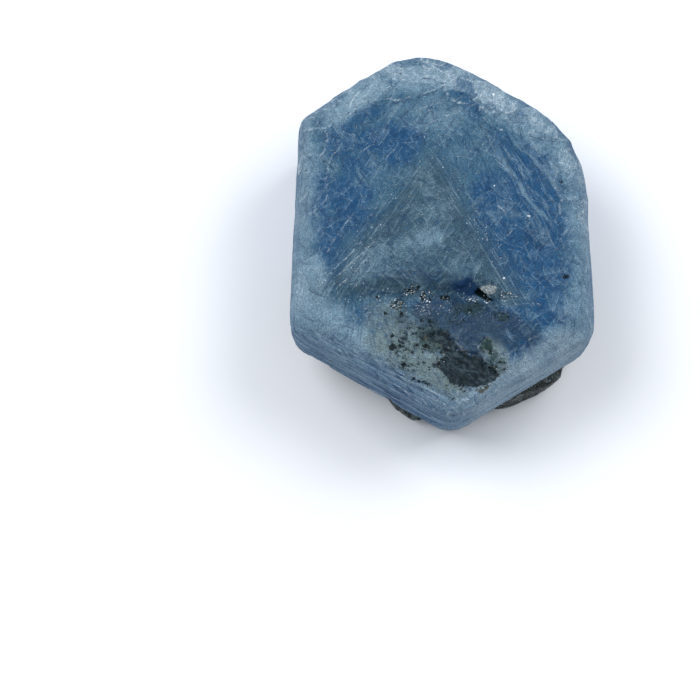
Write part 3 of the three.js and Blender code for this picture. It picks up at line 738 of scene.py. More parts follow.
class Bench:
    """Lays out the nodes of one material."""

    def __init__(self, name):
        self.material = bpy.data.materials.new(name)
        self.material.use_nodes = True
        self.tree = self.material.node_tree
        self.tree.nodes.clear()
        self.place = self.scaled(self.node("TexCoord", out="Object"), 1 / MM)

    def node(self, kind, settings=None, inputs=None, out=0):
        """Any node: its settings first, then the values or wires of its sockets."""
        made = self.tree.nodes.new("ShaderNode" + kind)
        for name, value in (settings or {}).items():
            setattr(made, name, value)
        sockets = {s.identifier: s for s in made.inputs}
        for name, value in (inputs or {}).items():
            socket = sockets.get(name) or made.inputs[name]
            if isinstance(value, Wire):
                self.tree.links.new(value.socket, socket)
            else:
                socket.default_value = value
        return Wire(self, made.outputs[out]) if made.outputs else None

    def math(self, operation, *values):
        inputs = {("Value", "Value_001", "Value_002")[i]: v for i, v in enumerate(values)}
        return self.node("Math", {"operation": operation}, inputs)

    def highest(self, a, b):
        return self.math("MAXIMUM", a, b)

    def scaled(self, vector, factor):
        """The vector times a number, or the colour made brighter or darker."""
        return self.node("VectorMath", {"operation": "SCALE"}, {"Vector": vector, "Scale": factor})

    def stretched(self, vector, factors):
        return self.node("VectorMath", {"operation": "MULTIPLY"}, {"Vector": vector, "Vector_001": factors})

    def moved(self, vector, by):
        return self.node("VectorMath", {"operation": "ADD"}, {"Vector": vector, "Vector_001": by})

    def turned(self, vector, degrees):
        return self.node(
            "VectorRotate", {"rotation_type": "Z_AXIS"}, {"Vector": vector, "Angle": math.radians(degrees)}
        )

    def swept(self, vector, amount, scale):
        """The vector pushed about by slow noise, so that what follows it bends."""
        push = self.node("TexNoise", {}, {"Vector": vector, "Scale": scale, "Detail": 1.0}, "Color")
        push = self.node(
            "VectorMath", {"operation": "SUBTRACT"}, {"Vector": push, "Vector_001": (0.5, 0.5, 0.5)}
        )
        return self.moved(vector, self.scaled(push, amount))

    def smooth(self, low, high, value):
        return self.node(
            "MapRange",
            {"interpolation_type": "SMOOTHSTEP"},
            {"Value": value, "From Min": low, "From Max": high},
        )

    def mark(self, name):
        return self.node("Attribute", {"attribute_name": name}, out="Fac")

    def noise(self, vector, scale, detail=2.0, sharp=0.55, shift=0.0):
        if shift:
            vector = self.moved(vector, (shift, -shift, 0.7 * shift))
        return self.node(
            "TexNoise", {}, {"Vector": vector, "Scale": scale, "Detail": detail, "Roughness": sharp}, "Fac"
        )

    def dots(self, vector, scale, radius, share, shift=0.0):
        """Small round dots in random cells, 1 inside: share of the cells have one."""
        if shift:
            vector = self.moved(vector, (shift, shift, shift))
        inputs = {"Vector": vector, "Scale": scale, "Randomness": 1.0}
        cells = self.node("TexVoronoi", {}, inputs, "Distance")
        chance = self.node(
            "SeparateColor", {}, {"Color": Wire(self, cells.socket.node.outputs["Color"])}, "Red"
        )
        return self.smooth(radius, radius * 0.55, cells) * self.smooth(share, share - 0.01, chance)

    def strokes(self, vector, degrees, spread, long, spacing, width, shift):
        """Straight thin strokes, one to a cell, that lean about one way.

        Gives the stroke, the veil to one side of it, and the cell's own random strength.
        """
        vector = self.turned(self.moved(vector, (shift, shift, 0)), -degrees)
        run = self.stretched(vector, (1 / long, 1 / spacing, 0))
        cells = self.node(
            "TexVoronoi", {"voronoi_dimensions": "2D"}, {"Vector": run, "Scale": 1.0}, "Position"
        )
        chance = Wire(self, cells.socket.node.outputs["Color"])
        tilt, bend, strength = (self.node("SeparateColor", {}, {"Color": chance}, i) for i in range(3))
        away = self.node("VectorMath", {"operation": "SUBTRACT"}, {"Vector": run, "Vector_001": cells})
        away = self.stretched(away, (long, spacing, 0))
        away = self.node(
            "VectorRotate", {"rotation_type": "Z_AXIS"},
            {"Vector": away, "Angle": (tilt - 0.5) * math.radians(spread)},
        )
        x, y = (self.node("SeparateXYZ", {}, {"Vector": away}, i) for i in range(2))
        y = y + (bend - 0.5) * x * x * (0.8 / long)
        run_out = self.smooth(0.50 * long, 0.15 * long, abs(x))
        stroke = self.smooth(width, 0.25 * width, abs(y)) * run_out
        veil = self.smooth(0.45 * spacing, 0.0, y) * self.smooth(-0.5 * width, 0.5 * width, y) * run_out
        return stroke, veil, strength

    def blend(self, a, b, share):
        """The number a where share is 0 and b where it is 1."""
        return a + (b - a) * share

    def joined(self, x, y, z=0.0):
        return self.node("CombineXYZ", {}, {"X": x, "Y": y, "Z": z})

    def mix(self, a, b, share):
        """Colour a where share is 0 and b where it is 1."""

        def solid(c):
            return c if isinstance(c, Wire) else (*tuple(c)[:3], 1.0)

        return self.node(
            "Mix",
            {"data_type": "RGBA", "clamp_factor": True},
            {"Factor_Float": share, "A_Color": solid(a), "B_Color": solid(b)},
            2,
        )

    def bump(self, height, distance_mm):
        return self.node("Bump", {}, {"Height": height, "Distance": distance_mm * MM, "Strength": 1.0})

    def finish(self, inputs):
        """Feeds the inputs to the surface's shader, which ends the material."""
        self.node("OutputMaterial", {}, {"Surface": self.node("BsdfPrincipled", {}, inputs)})
        return self.material


def sapphire_material(s):
    """Silky blue stone with pools, healed cracks, bruises, stains and set mica."""
    b = Bench("silky_sapphire")
    p = b.place
    side, under, wear = b.mark("side"), b.mark("under"), b.mark("wear")
    triangle, ledge, edge = b.mark("triangle"), b.mark("ledge"), b.mark("edge")
    top = 1 - side

    slow = b.noise(p, 0.55, 2.0, 0.55)
    mid = b.noise(p, 2.2, 3.0, 0.62, 5.0)
    fine = b.noise(p, 5.5, 3.0, 0.70, 9.0)
    silk = b.noise(p, 10.0, 2.0, 0.75, 60.0)
    flow = b.swept(p, 3.2, 0.20)
    bent = b.swept(p, 0.45, 1.1)

    # Body colour: clearer and deeper in the pools, grey inside the triangle, milky elsewhere.
    depth = b.mark("pool") + 0.50 * (slow - 0.5) + 0.55 * (mid - 0.5) + 0.35 * (fine - 0.5)
    body = b.mix(s.silk, s.deep, b.smooth(0.0, 0.85, depth))
    inside = b.smooth(-0.25, 0.30, triangle + 1.1 * (mid - 0.5)) * b.smooth(0.2, -0.3, ledge)
    body = b.mix(body, s.haze, 0.85 * inside)
    pallor = b.mark("milk") + 0.7 * (slow - 0.5) + 1.0 * (mid - 0.5)
    milky = b.smooth(0.0, 1.05, pallor)
    body = b.mix(body, s.pale, 0.95 * milky)
    body = b.mix(body, s.frost, 0.85 * b.smooth(0.75, 1.45, pallor))
    greenish = b.smooth(0.10, 0.85, b.mark("murk") + 0.6 * (mid - 0.5))
    body = b.mix(body, s.murk, 0.90 * greenish)
    # Painted shade along the ledge and on the step's floor, and in the other dusky places.
    dusk = b.smooth(0.15, 0.95, b.mark("dusk") + 0.7 * (mid - 0.5))
    body = b.mix(body, s.dusk, 0.93 * dusk)
    body = b.mix(body, s.deep, 0.40 * b.smooth(0.44, 0.30, mid) * b.smooth(0.75, 0.35, milky))

    # Healed cracks: thin straight strokes, each with a veil to one side, pale or dim.
    here = b.noise(p, 0.9, 1.0, 0.5, 12.0)
    there = b.noise(p, 1.3, 1.0, 0.5, 21.0)
    near_edge = b.smooth(1.5, 0.1, abs(triangle + 0.5 * (mid - 0.5)))
    lines = 0.0
    streaks = b.mark("streaks")
    within = b.smooth(0.0, 0.6, triangle)
    for degrees, spread, long, spacing, width, where, shift in (
        (0, 360, 1.9, 1.7, 0.040, 1.0, 0.0),
        (0, 360, 1.0, 0.9, 0.032, 0.8, 7.0),
        (0, 360, 0.6, 0.5, 0.026, b.smooth(0.40, 0.52, there), 13.0),
        (50, 40, 2.9, 0.8, 0.030, b.highest(within, b.smooth(0.56, 0.42, here)), 19.0),
        (-62, 40, 3.0, 0.8, 0.035, b.smooth(0.44, 0.58, there) + streaks, 25.0),
        (-5, 50, 2.6, 1.0, 0.030, b.smooth(0.46, 0.60, here), 31.0),
        (52, 40, 1.2, 0.30, 0.022, b.highest(within, b.smooth(0.50, 0.40, there)), 37.0),
        (-60, 40, 1.4, 0.35, 0.026, b.smooth(0.46, 0.60, here) + streaks, 43.0),
    ):
        stroke, veil, strength = b.strokes(flow, degrees, spread, long, spacing, width, shift)
        where = where * b.smooth(0.15, 0.85, strength)
        body = b.mix(body, s.veil, 0.15 * veil * where * top)
        lines = b.highest(lines, stroke * where)
    for degrees, long, spacing, shift in (
        (40, 1.8, 0.7, 50.0), (-40, 1.8, 0.7, 56.0), (80, 1.4, 0.6, 62.0)
    ):
        stroke, veil, strength = b.strokes(flow, degrees, 60, long, spacing, 0.05, shift)
        dim = (0.28 * veil + 0.35 * stroke) * b.smooth(0.15, 0.85, strength) * top
        body = b.mix(body, s.ink, dim)
    body = b.mix(body, s.veil, (0.50 - 0.42 * dusk) * lines * b.smooth(0.32, 0.56, fine) * top)

    # Brushed patches: fine straight strokes, light and dark, that lean one way in each patch.
    def brushed(degrees, shift, length=1.7, width=0.12, over=flow):
        run = b.stretched(b.turned(over, -degrees), (1 / length, 1 / width, 0.7))
        return b.noise(run, 1.0, 3.0, 0.62, shift)

    brush = b.blend(brushed(-60, 30.0), brushed(50, 37.0), b.smooth(0.47, 0.53, here))
    brush = b.blend(brush, brushed(-6, 44.0), b.smooth(0.52, 0.58, there))
    brush = b.blend(brush, brushed(84, 51.0), b.smooth(0.46, 0.40, there))
    brush = b.blend(brush, brushed(-70, 58.0, 2.0, 0.17), b.smooth(0.2, 0.7, streaks))
    x, y = (b.node("SeparateXYZ", {}, {"Vector": p}, i) for i in range(2))
    left = b.smooth(-0.8, -1.4, x)
    beside_edge = b.blend(brushed(-58, 85.0, 1.5, 0.10, p), brushed(55, 90.0, 1.5, 0.10, p), left)
    brush = b.blend(brush, beside_edge, near_edge * b.smooth(0.3, -0.3, ledge))
    broad = brushed(-66, 65.0, 5.0, 0.5)
    body = b.mix(body, s.pale, 0.75 * streaks * b.smooth(0.50, 0.62, broad))
    body = b.mix(body, s.deep, 0.40 * streaks * b.smooth(0.48, 0.38, broad))
    stronger = 0.55 + 0.6 * near_edge + 0.5 * streaks
    body = b.mix(body, s.haze, 0.4 * near_edge * b.smooth(0.3, -0.3, ledge))
    body = b.mix(body, s.veil, 0.26 * stronger * (top - 0.6 * dusk) * b.smooth(0.53, 0.66, brush))
    body = b.mix(body, s.ink, 0.30 * stronger * top * b.smooth(0.47, 0.34, brush))

    # Side faces: dull, with short level striations.
    level = b.moved(b.swept(p, 0.25, 0.6), b.joined(0.0, 0.0, b.mark("rise")))
    hatched = b.mark("hatched")
    striae = b.noise(b.stretched(level, (0.40, 0.40, 3.4)), 1.0, 4.0, 0.70, 2.0)
    long_striae = b.noise(b.stretched(level, (0.15, 0.15, 1.3)), 1.0, 3.0, 0.65, 22.0)
    patchy = b.noise(p, 0.5, 3.0, 0.6, 80.0)
    stepped = b.smooth(0.2, 0.9, b.mark("stepped") + 1.2 * (patchy - 0.5))
    flank = b.mix(s.side, s.frost, 0.8 * b.smooth(0.45, 0.85, patchy + 0.30 * stepped))
    flank = b.mix(flank, s.frost, 0.45 * b.smooth(0.52, 0.62, long_striae))
    flank = b.mix(flank, s.deep, (0.60 - 0.4 * stepped) * b.smooth(0.48, 0.38, long_striae))
    flank = b.mix(flank, s.chalk, 0.30 * b.smooth(0.53, 0.62, striae))
    flank = b.mix(flank, s.ink, (0.50 - 0.30 * stepped) * b.smooth(0.48, 0.40, striae))
    skirt = b.joined(b.mark("around"), b.node("SeparateXYZ", {}, {"Vector": level}, "Z"))
    stroke, _, strength = b.strokes(skirt, 0, 14, 1.8, 0.5, 0.16, 3.0)
    stroke = stroke * hatched
    flank = b.mix(flank, s.ink, 0.80 * stroke * b.smooth(0.60, 0.20, strength))
    flank = b.mix(flank, s.chalk, 0.42 * stroke * b.smooth(0.60, 0.90, strength))

    # The bevel under the front rim has short hatching that runs aslant.
    stroke, _, strength = b.strokes(p, -42, 24, 0.75, 0.26, 0.07, 11.0)
    stroke = stroke * b.smooth(0.3, 1.0, b.mark("rise")) * hatched
    flank = b.mix(flank, s.ink, stroke * b.smooth(0.75, 0.40, strength))
    flank = b.mix(flank, s.chalk, 0.45 * stroke * b.smooth(0.65, 0.90, strength))
    flank = b.mix(flank, s.chalk, 0.24 * stepped)
    flank = b.mix(flank, s.pale, 0.35 * milky)
    spread = b.smooth(1.7, 0.6, b.mark("inward") + 1.0 * (mid - 0.5)) * b.smooth(-4.5, -7.0, y)
    body = b.mix(body, flank, b.highest(side, 0.85 * spread))

    chips = b.noise(b.swept(p, 0.4, 2.0), 4.5, 3.0, 0.7, 40.0)

    # The bruised, frosted rim: small chips with bright ridges, and strokes that run in from the edge.
    worn = b.smooth(0.20, -0.20, edge + 1.1 * (mid - 0.5) + 0.5 * (fine - 0.5)) * wear
    frosted = b.smooth(0.15, 0.75, b.mark("frosted") + 0.9 * (mid - 0.5) + 0.5 * (fine - 0.5))
    frosted = frosted * b.smooth(0.05, 0.30, b.mark("frosted"))
    crumbled = b.noise(flow, 3.6, 4.0, 0.75, 45.0)
    body = b.mix(body, s.frost, 0.75 * frosted)
    body = b.mix(body, s.chalk, 0.50 * frosted * b.smooth(0.54, 0.62, crumbled))
    body = b.mix(body, s.deep, 0.22 * frosted * b.smooth(0.46, 0.38, crumbled))
    across = b.noise(b.joined(2.0 * b.mark("around"), 0.8 * b.mark("inward"), 0.7 * mid), 1.0, 3.0, 0.65)
    scratch, shine, strength = b.strokes(flow, 20, 360, 0.9, 0.6, 0.035, 71.0)
    scratch = (0.50 * scratch + 0.25 * shine) * b.smooth(0.1, 0.5, worn)
    body = b.mix(body, s.frost, 0.64 * worn)
    body = b.mix(body, s.chalk, scratch * b.smooth(0.35, 0.75, strength))
    body = b.mix(body, s.deep, 0.7 * scratch * b.smooth(0.35, 0.10, strength))
    tone = b.mark("tone") + 0.5 * (mid - 0.5) + 0.5 * (fine - 0.5)
    body = b.mix(body, s.deep, 0.45 * worn * b.smooth(0.40, 0.05, tone))
    body = b.mix(body, s.chalk, 0.22 * worn * b.smooth(0.65, 1.0, tone))
    body = b.mix(body, s.chalk, 0.26 * worn * b.smooth(0.54, 0.66, across))
    body = b.mix(body, s.deep, 0.30 * worn * b.smooth(0.46, 0.34, across))
    body = b.mix(body, s.chalk, 0.80 * b.mark("ridge") * b.smooth(0.44, 0.58, chips))
    # Painted shade: ink darkens the rim where the top turns down towards the sides.
    body = b.mix(body, s.ink, 0.65 * b.mark("turn"))

    # Strokes that catch the light or stay dark: painted highlights and painted shade along edges and steps,
    # and pale and dark cracks.
    ragged = b.noise(p, 3.0, 1.0, 0.6, 50.0)
    # Painted highlights along edges and steps, with pale healed cracks.
    bright = b.smooth(0.065, 0.010, b.mark("bright_line") + 0.10 * (fine - 0.5))
    bright = bright * b.smooth(0.35, 0.60, ragged)
    body = b.mix(body, s.chalk, 0.42 * bright)
    # Painted shade along edges and steps, with a few dark cracks.
    dark = b.smooth(0.065, 0.010, b.mark("dark_line") + 0.13 * (fine - 0.5))
    dark = dark * b.smooth(0.30, 0.46, ragged)
    body = b.mix(body, s.ink, 0.62 * dark)

    # Silk: the finest light and dark.
    grit = b.noise(p, 17.0, 1.0, 0.6, 66.0)
    body = b.scaled(body, 1.07 + 0.7 * (fine - 0.5) + 1.2 * (silk - 0.5) + 2.0 * (grit - 0.5))

    # The clear dark tongue beside the crevice.
    tongue = b.smooth(-0.12, 0.06, b.mark("tongue") + 0.25 * (mid - 0.5) + 0.3 * (fine - 0.5))
    body = b.mix(body, s.ink, 0.90 * tongue)

    # Olive stains, flecks and the mica set in the step.
    stain = b.mark("stain")
    stained = 0.75 * stain + 1.3 * (mid - 0.5) + 1.5 * (fine - 0.5) + 0.8 * (silk - 0.5)
    body = b.mix(body, s.olive, 0.75 * b.smooth(0.35, 0.75, stained) * b.smooth(0.1, 0.5, stain))
    crumbs = b.noise(b.stretched(b.turned(bent, 30), (1.0, 1.8, 1.0)), 2.6, 3.0, 0.75, 73.0)
    crumbs = b.smooth(0.55, 0.60, crumbs)
    body = b.mix(body, s.soot, 0.9 * crumbs * b.smooth(0.15, 0.6, stain + 0.5 * (mid - 0.5)))
    wedge = b.smooth(-0.03, 0.04, b.mark("wedge") + 0.15 * (mid - 0.5))
    body = b.mix(body, s.murk, 0.5 * b.smooth(-0.10, -0.03, b.mark("wedge")) * b.smooth(0.44, 0.56, fine))
    body = b.mix(body, s.olive, 0.92 * wedge)
    body = b.mix(body, s.murk, 0.5 * wedge * b.smooth(0.56, 0.64, fine))
    fleck = b.smooth(-0.01, 0.04, b.mark("fleck") + 0.40 * (fine - 0.5) + 0.2 * (mid - 0.5))
    body = b.mix(body, s.soot, 0.92 * fleck)
    flaky = b.noise(b.stretched(b.turned(b.swept(p, 0.5, 1.0), 35), (1.0, 2.0, 1.0)), 2.4, 4.0, 0.70, 70.0)
    patch = b.mark("mica") + 0.8 * (mid - 0.5) + 0.5 * (fine - 0.5) + 0.6 * (flaky - 0.5)
    in_patch = b.smooth(-0.02, 0.07, patch)
    fringe = b.smooth(-0.28, -0.05, patch) * b.smooth(0.14, 0.0, patch)
    body = b.mix(body, s.tan, 0.45 * fringe * b.smooth(0.50, 0.62, chips))
    body = b.mix(body, s.soot, 0.85 * fringe * b.smooth(0.47, 0.40, chips))
    mica = b.mix(s.mica, s.slate, b.smooth(0.48, 0.64, flaky + 0.3 * (slow - 0.5)))
    mica = b.mix(mica, s.soot, 0.85 * b.smooth(0.48, 0.38, flaky))
    mica = b.mix(mica, s.tan, 0.45 * b.smooth(0.60, 0.68, chips) * b.smooth(0.40, 0.55, mid))
    body = b.mix(body, mica, in_patch)
    ochre = b.smooth(-0.08, 0.06, b.mark("ochre") + 0.4 * (mid - 0.5) + 0.3 * (fine - 0.5))
    body = b.mix(body, s.ochre, 0.8 * ochre)

    # Fine specks on the floor of the step.
    floor = b.smooth(0.0, 0.3, ledge) * b.smooth(2.2, 0.6, ledge) * b.smooth(0.46, 0.60, chips) * top
    body = b.mix(body, s.frost, 0.80 * b.dots(p, 9.0, 0.40, 0.30, 27.0) * floor)
    body = b.mix(body, s.soot, 0.60 * b.dots(p, 8.0, 0.42, 0.16, 29.0) * floor)

    # Loose grains along the ledge, the crevice painted black as the shade in its depth, and the pale flake
    # beside it.
    heap = b.mark("grain") + 0.8 * (mid - 0.5)
    body = b.mix(body, s.soot, 0.8 * b.smooth(0.25, 0.7, heap) * b.smooth(0.52, 0.44, chips))
    crumb = b.highest(b.dots(p, 7.5, 0.42, 0.22, 8.0), 0.8 * b.dots(p, 12.0, 0.5, 0.30, 19.0))
    # Some grains take the spark colour as painted glints; the rest are sand coloured.
    sand_and_glint = b.mix(s.sand, s.spark, b.smooth(0.42, 0.54, mid))
    body = b.mix(body, sand_and_glint, 0.9 * crumb * b.smooth(0.20, 0.60, heap))
    flake = b.smooth(-0.04, 0.05, b.mark("flake") + 0.3 * (fine - 0.5))
    body = b.mix(body, s.flake, 0.90 * flake)
    # Painted glints on the pale flake, with dark specks between them.
    body = b.mix(body, s.spark, 0.75 * flake * b.smooth(0.53, 0.60, silk))
    body = b.mix(body, s.ink, 0.55 * flake * b.smooth(0.45, 0.38, silk))
    crevice_painted_shade = b.smooth(0.0, 0.05, b.mark("crevice") + 0.20 * (fine - 0.5))
    body = b.mix(body, s.soot, crevice_painted_shade)

    # Underneath: dull broken stone, stained where the rock was.
    base = b.mix(s.dull, s.olive, b.smooth(0.4, 0.62, slow))
    base = b.mix(base, s.frost, 0.45 * b.smooth(0.55, 0.72, mid))
    base = b.scaled(base, 1.0 + 1.6 * (fine - 0.5) + 1.0 * (silk - 0.5))
    body = b.mix(body, base, under)

    # Glints.
    # Small specks of painted highlight, some spread over the top and some near the triangle's edges.
    painted_glint_specks = b.dots(p, 4.0, 0.18, 0.20, 33.0) * b.smooth(0.50, 0.64, slow)
    painted_glint_specks = b.highest(painted_glint_specks, b.dots(p, 6.0, 0.30, 0.35, 44.0) * near_edge * b.smooth(0.5, 0.6, ragged))
    located = b.smooth(0.02, 0.05, b.mark("glint") + 0.22 * (silk - 0.5))
    glint = b.highest(located, 0.6 * painted_glint_specks * (top - fleck))
    body = b.mix(body, s.spark, 0.72 * glint)

    matt = s.gloss + 0.25 * worn + 0.25 * side + 0.15 * (fine - 0.5) + 0.1 * in_patch - 0.15 * glint
    relief = 0.35 * fine + 0.3 * silk + 0.35 * mid + 0.30 * brush + 0.25 * lines - 0.3 * dark + 0.4 * bright
    relief = relief + 0.9 * worn * (chips + across) + 1.3 * side * striae + 0.9 * side * long_striae
    relief = relief + 0.6 * flaky * in_patch
    return b.finish({
        "Base Color": body,
        "Roughness": matt,
        "Normal": b.bump(relief, 0.07),
        "IOR": 1.6,
        "Specular IOR Level": 0.08,
    })


def rock_material(s):
    """Dark mica rock: close grains, rusty places and small bright flakes."""
    b = Bench("mica_rock")
    p = b.swept(b.place, 0.3, 1.5)
    mid = b.noise(p, 1.8, 4.0, 0.65)
    fine = b.noise(p, 7.0, 3.0, 0.7, 4.0)
    per_mm = MM / s.grain
    cells = b.node("TexVoronoi", {}, {"Vector": p, "Scale": per_mm}, "Color")
    tone = b.node("SeparateColor", {}, {"Color": cells}, "Red")
    skin = b.mix(s.rock, s.light, b.smooth(0.55, 1.0, tone + 0.6 * (mid - 0.5)))
    skin = b.mix(skin, s.dark, 0.9 * b.smooth(0.60, 0.30, tone + 0.8 * (fine - 0.5)))
    skin = b.mix(skin, s.rust, 0.5 * b.smooth(0.58, 0.72, mid))
    skin = b.scaled(skin, 1.0 + 3.4 * (fine - 0.5))
    flecks = b.highest(b.dots(p, 6.0, 0.32, 0.25, 5.0), b.dots(p, 11.0, 0.42, 0.28, 9.0))
    skin = b.mix(skin, s.fleck, 0.8 * flecks * b.smooth(0.40, 0.60, mid))
    edges = b.node(
        "TexVoronoi", {"feature": "DISTANCE_TO_EDGE"}, {"Vector": p, "Scale": per_mm}, "Distance"
    )
    relief = 0.6 * b.smooth(0.0, 0.25, edges) + 0.6 * fine + 0.7 * mid + 0.4 * tone
    return b.finish({
        "Base Color": skin,
        "Roughness": 0.72 - 0.3 * b.smooth(0.6, 0.9, tone) - 0.3 * flecks,
        "Normal": b.bump(relief, 0.09),
        "IOR": 1.55,
        "Specular IOR Level": 0.25,
    })


# ---- Pieces ----


def crystal_marks(points, normals, surface):
    """What lies where on the crystal."""
    x, y, z = points.T
    up = normals[:, 2]
    inward = into_prism(points)
    facing_up = smooth(0.30, 0.70, up)
    plan = wandered(points)
    ledge = np.interp(plan[:, 0], *zip(*LEDGE)) - plan[:, 1]
    angle = np.degrees(np.arctan2(y - AXIS[1], x - AXIS[0]))
    strength = np.interp(angle, RIM_WEAR["angle"], RIM_WEAR["strength"], period=360)
    width = np.interp(angle, RIM_WEAR["angle"], RIM_WEAR["width"], period=360)
    bite, ridge, tone = bruised(points, surface)
    open_side = smooth(-0.45, -0.15, up)

    def on_top(values, elsewhere=-FAR):
        """The values where the crystal faces up, and a far one everywhere else."""
        return np.where(facing_up > 0.02, values, elsewhere)

    return {
        "bite": bite * open_side,
        "ridge": ridge * open_side * strength,
        "tone": tone,
        "around": np.radians(angle) * MEAN_RADIUS,  # length round the crystal
        "inward": inward,
        # How far the level lines of the sides are lifted as they near the rim.
        "rise": inward * smooth(5.5, 8.0, z) * (1.0 + 2.2 * smooth(-4.5, -6.5, y)),
        # How strongly the sides are hatched.
        "hatched": 0.30 + smooth(-3.0, -6.0, y) * (0.30 + 0.40 * smooth(2.5, 0.0, x)),
        "tongue": on_top(into_outline(plan, TONGUE)),
        "pool": in_patches(plan, BLUE_POOLS) * facing_up,
        "milk": in_patches(plan, MILKY_PLACES),
        "frosted": in_patches(plan, FROSTED_PLACES),
        "murk": in_patches(plan, MURKY_PLACES) * facing_up,
        "dusk": in_patches(plan, DUSKY_PLACES) * facing_up,
        "edge": inward - width,
        "wear": strength * smooth(-0.35, -0.05, up) * smooth(7.2, 8.6, z),
        # Where the top bends down to the sides near the rim: darkened in the colour as painted shade, and
        # lifted a little in the relief.
        "turn": smooth(0.30, 0.02, up) * smooth(8.3, 9.0, z) * smooth(-6.0, -3.0, y),
        "rim": smooth(2.0, 0.25, inward) * smooth(0.15, 0.45, up),
        "streaks": in_patches(points, [SLANTED_STREAKS]),
        "side": smooth(0.62, 0.35, np.abs(up)) * smooth(9.6, 8.7, z),
        "stepped": smooth(0.0, 3.0, x) * smooth(-5.0, -7.0, y),
        "wedge": on_top(into_outline(plan, OLIVE_WEDGE)),
        "under": smooth(-0.35, -0.6, up),
        "triangle": into_outline(plan, triangle_corners()),
        "ledge": ledge,
        "mica": on_top(into_outline(plan, MICA_PATCH)),
        "crevice": on_top(into_outline(points, CREVICE)),
        "flake": on_top(into_outline(points, FLAKE)),
        "ochre": on_top(into_outline(plan, OCHRE_SPOT)),
        "stain": in_patches(plan, OLIVE_STAINS) * facing_up,
        "grain": in_patches(plan, GRAIN_HEAPS) * facing_up,
        "fleck": on_top(into_flecks(points, FLECKS)),
        "glint": on_top(into_flecks(points, GLINTS)),
        "bright_line": on_top(to_strokes(plan, BRIGHT_STROKES), FAR),
        "dark_line": on_top(to_strokes(plan, DARK_STROKES), FAR),
    }


def crystal_relief(points, marks):
    """How far each point of the crystal stands out of the plain faces."""
    top = 1 - marks["side"]
    upper = top * (1 - marks["under"])
    relief = 0.022 * roughness(points, 2.6, 1) + 0.010 * roughness(points, 0.7, 2)
    relief += 0.022 * marks["rim"] * roughness(points, 0.45, 3)
    relief += 0.12 * marks["turn"] - marks["bite"]
    relief += 0.03 * marks["wear"] * smooth(0.9, 0.3, marks["inward"]) * roughness(points, 0.30, 23, 2)
    relief += 0.030 * marks["side"] * roughness(points, [3.5, 3.5, 0.9], 4, 3)
    relief += 0.016 * marks["side"] * roughness(points, [1.1, 1.1, 0.30], 13, 2)
    level = points[:, 2] / GROWTH_BAND + 0.45 * roughness(points, [5.0, 5.0, 3.0], 14)
    step = level - np.floor(level)
    stepped = smooth(-5.5, -3.0, points[:, 0]) * smooth(-5.0, -6.0, points[:, 1])
    relief += 0.10 * marks["side"] * stepped * (smooth(0.0, 0.12, step) - 1.0 + 0.6 * (1 - step))
    ledge = marks["ledge"]
    rubble = smooth(-0.5, -0.1, ledge) * smooth(1.0, 0.4, ledge)
    rubble *= smooth(5.5, 4.0, np.abs(points[:, 0] + 0.2))
    relief += upper * 0.075 * rubble * roughness(points, 0.36, 5)
    relief += upper * 0.03 * smooth(0.2, 0.8, ledge) * roughness(points, 1.1, 6)
    chip = beside(points, CHIP_EDGE)
    relief -= upper * 0.10 * smooth(0.0, 0.14, chip) * smooth(1.8, 0.6, chip) * (marks["rim"] > 0)
    terrace = beside(points, TERRACE_EDGE)
    relief -= upper * 0.05 * smooth(-0.02, 0.1, terrace) * smooth(1.2, 0.4, terrace)
    patch = marks["mica"]
    flaky = np.round(2.5 * roughness(points, [0.9, 0.5, 9], 7)) / 2.5
    relief += upper * smooth(0.0, 0.12, patch) * (0.05 * flaky - 0.03)
    relief += upper * smooth(-0.02, 0.06, marks["flake"]) * (0.01 + 0.05 * roughness(points, 0.25, 8))
    relief -= 0.22 * upper * smooth(-0.06, 0.05, marks["crevice"])
    relief -= 0.05 * upper * smooth(-0.03, 0.05, marks["fleck"])
    relief += 0.03 * upper * smooth(-0.03, 0.05, marks["glint"])
    relief += 0.07 * marks["under"] * roughness(points, 0.9, 9, 4)
    return relief


class SAPPHIRE_OT_crystal(bpy.types.Operator):
    """Build the sapphire: a fine worn skin over its faces, with relief and a silky material"""

    bl_idname = "sapphire.crystal"
    bl_label = "Crystal"

    def execute(self, context):
        s = context.scene.sapphire_crystal
        mesh = fine_skin(CRYSTAL_NODE, s.cell / MM)
        surface = node_surface(CRYSTAL_NODE)
        points = snapped(points_of(mesh), surface)
        points = eased(mesh, relaxed(mesh, points, 2))
        normals = normals_of(mesh, relaxed(mesh, points, 3))
        marks = crystal_marks(points, normals, surface)
        points = points + normals * crystal_relief(points, marks)[:, None]
        points = boxed(points, CRYSTAL_NODE)
        finished_piece(
            "sapphire", mesh, points, marks, sapphire_material(s), CRYSTAL_NODE
        )
        return {"FINISHED"}


class SAPPHIRE_OT_crust(bpy.types.Operator):
    """Build the crust of mica rock, close against the crystal's broken base"""

    bl_idname = "sapphire.crust"
    bl_label = "Crust"

    def execute(self, context):
        s = context.scene.sapphire_crust
        mesh = fine_skin(CRUST_NODE, s.cell / MM)
        points = snapped(points_of(mesh), node_surface(CRUST_NODE))
        points = relaxed(mesh, points, 2)
        normals = normals_of(mesh, points)
        relief = 0.09 * roughness(points, 0.8, 21, 4) + 0.06 * roughness(points, 0.3, 22)
        x, _, z = points.T
        relief -= CRUST_DIP * smooth(0.0, 1.5, x) * smooth(5.0, 3.0, x)
        above = 1 - smooth(0.25, 0.0, z)
        rim = np.interp(x, *zip(*CRUST_RIM))
        points = points + normals * (relief * above)[:, None]
        points[:, 1] += RIM_DRAW * np.clip(rim - points[:, 1], 0, RIM_SHIFT)
        points = boxed(points, CRUST_NODE)
        crystal = node_surface(CRYSTAL_NODE)
        for i, point in enumerate(points.tolist()):
            near, outward, _, distance = crystal.find_nearest(point)
            if distance < SEAM:
                points[i] = np.array(near - outward * SEAM_BITE)
        finished_piece("mica_rock", mesh, points, {}, rock_material(s), CRUST_NODE)
        return {"FINISHED"}


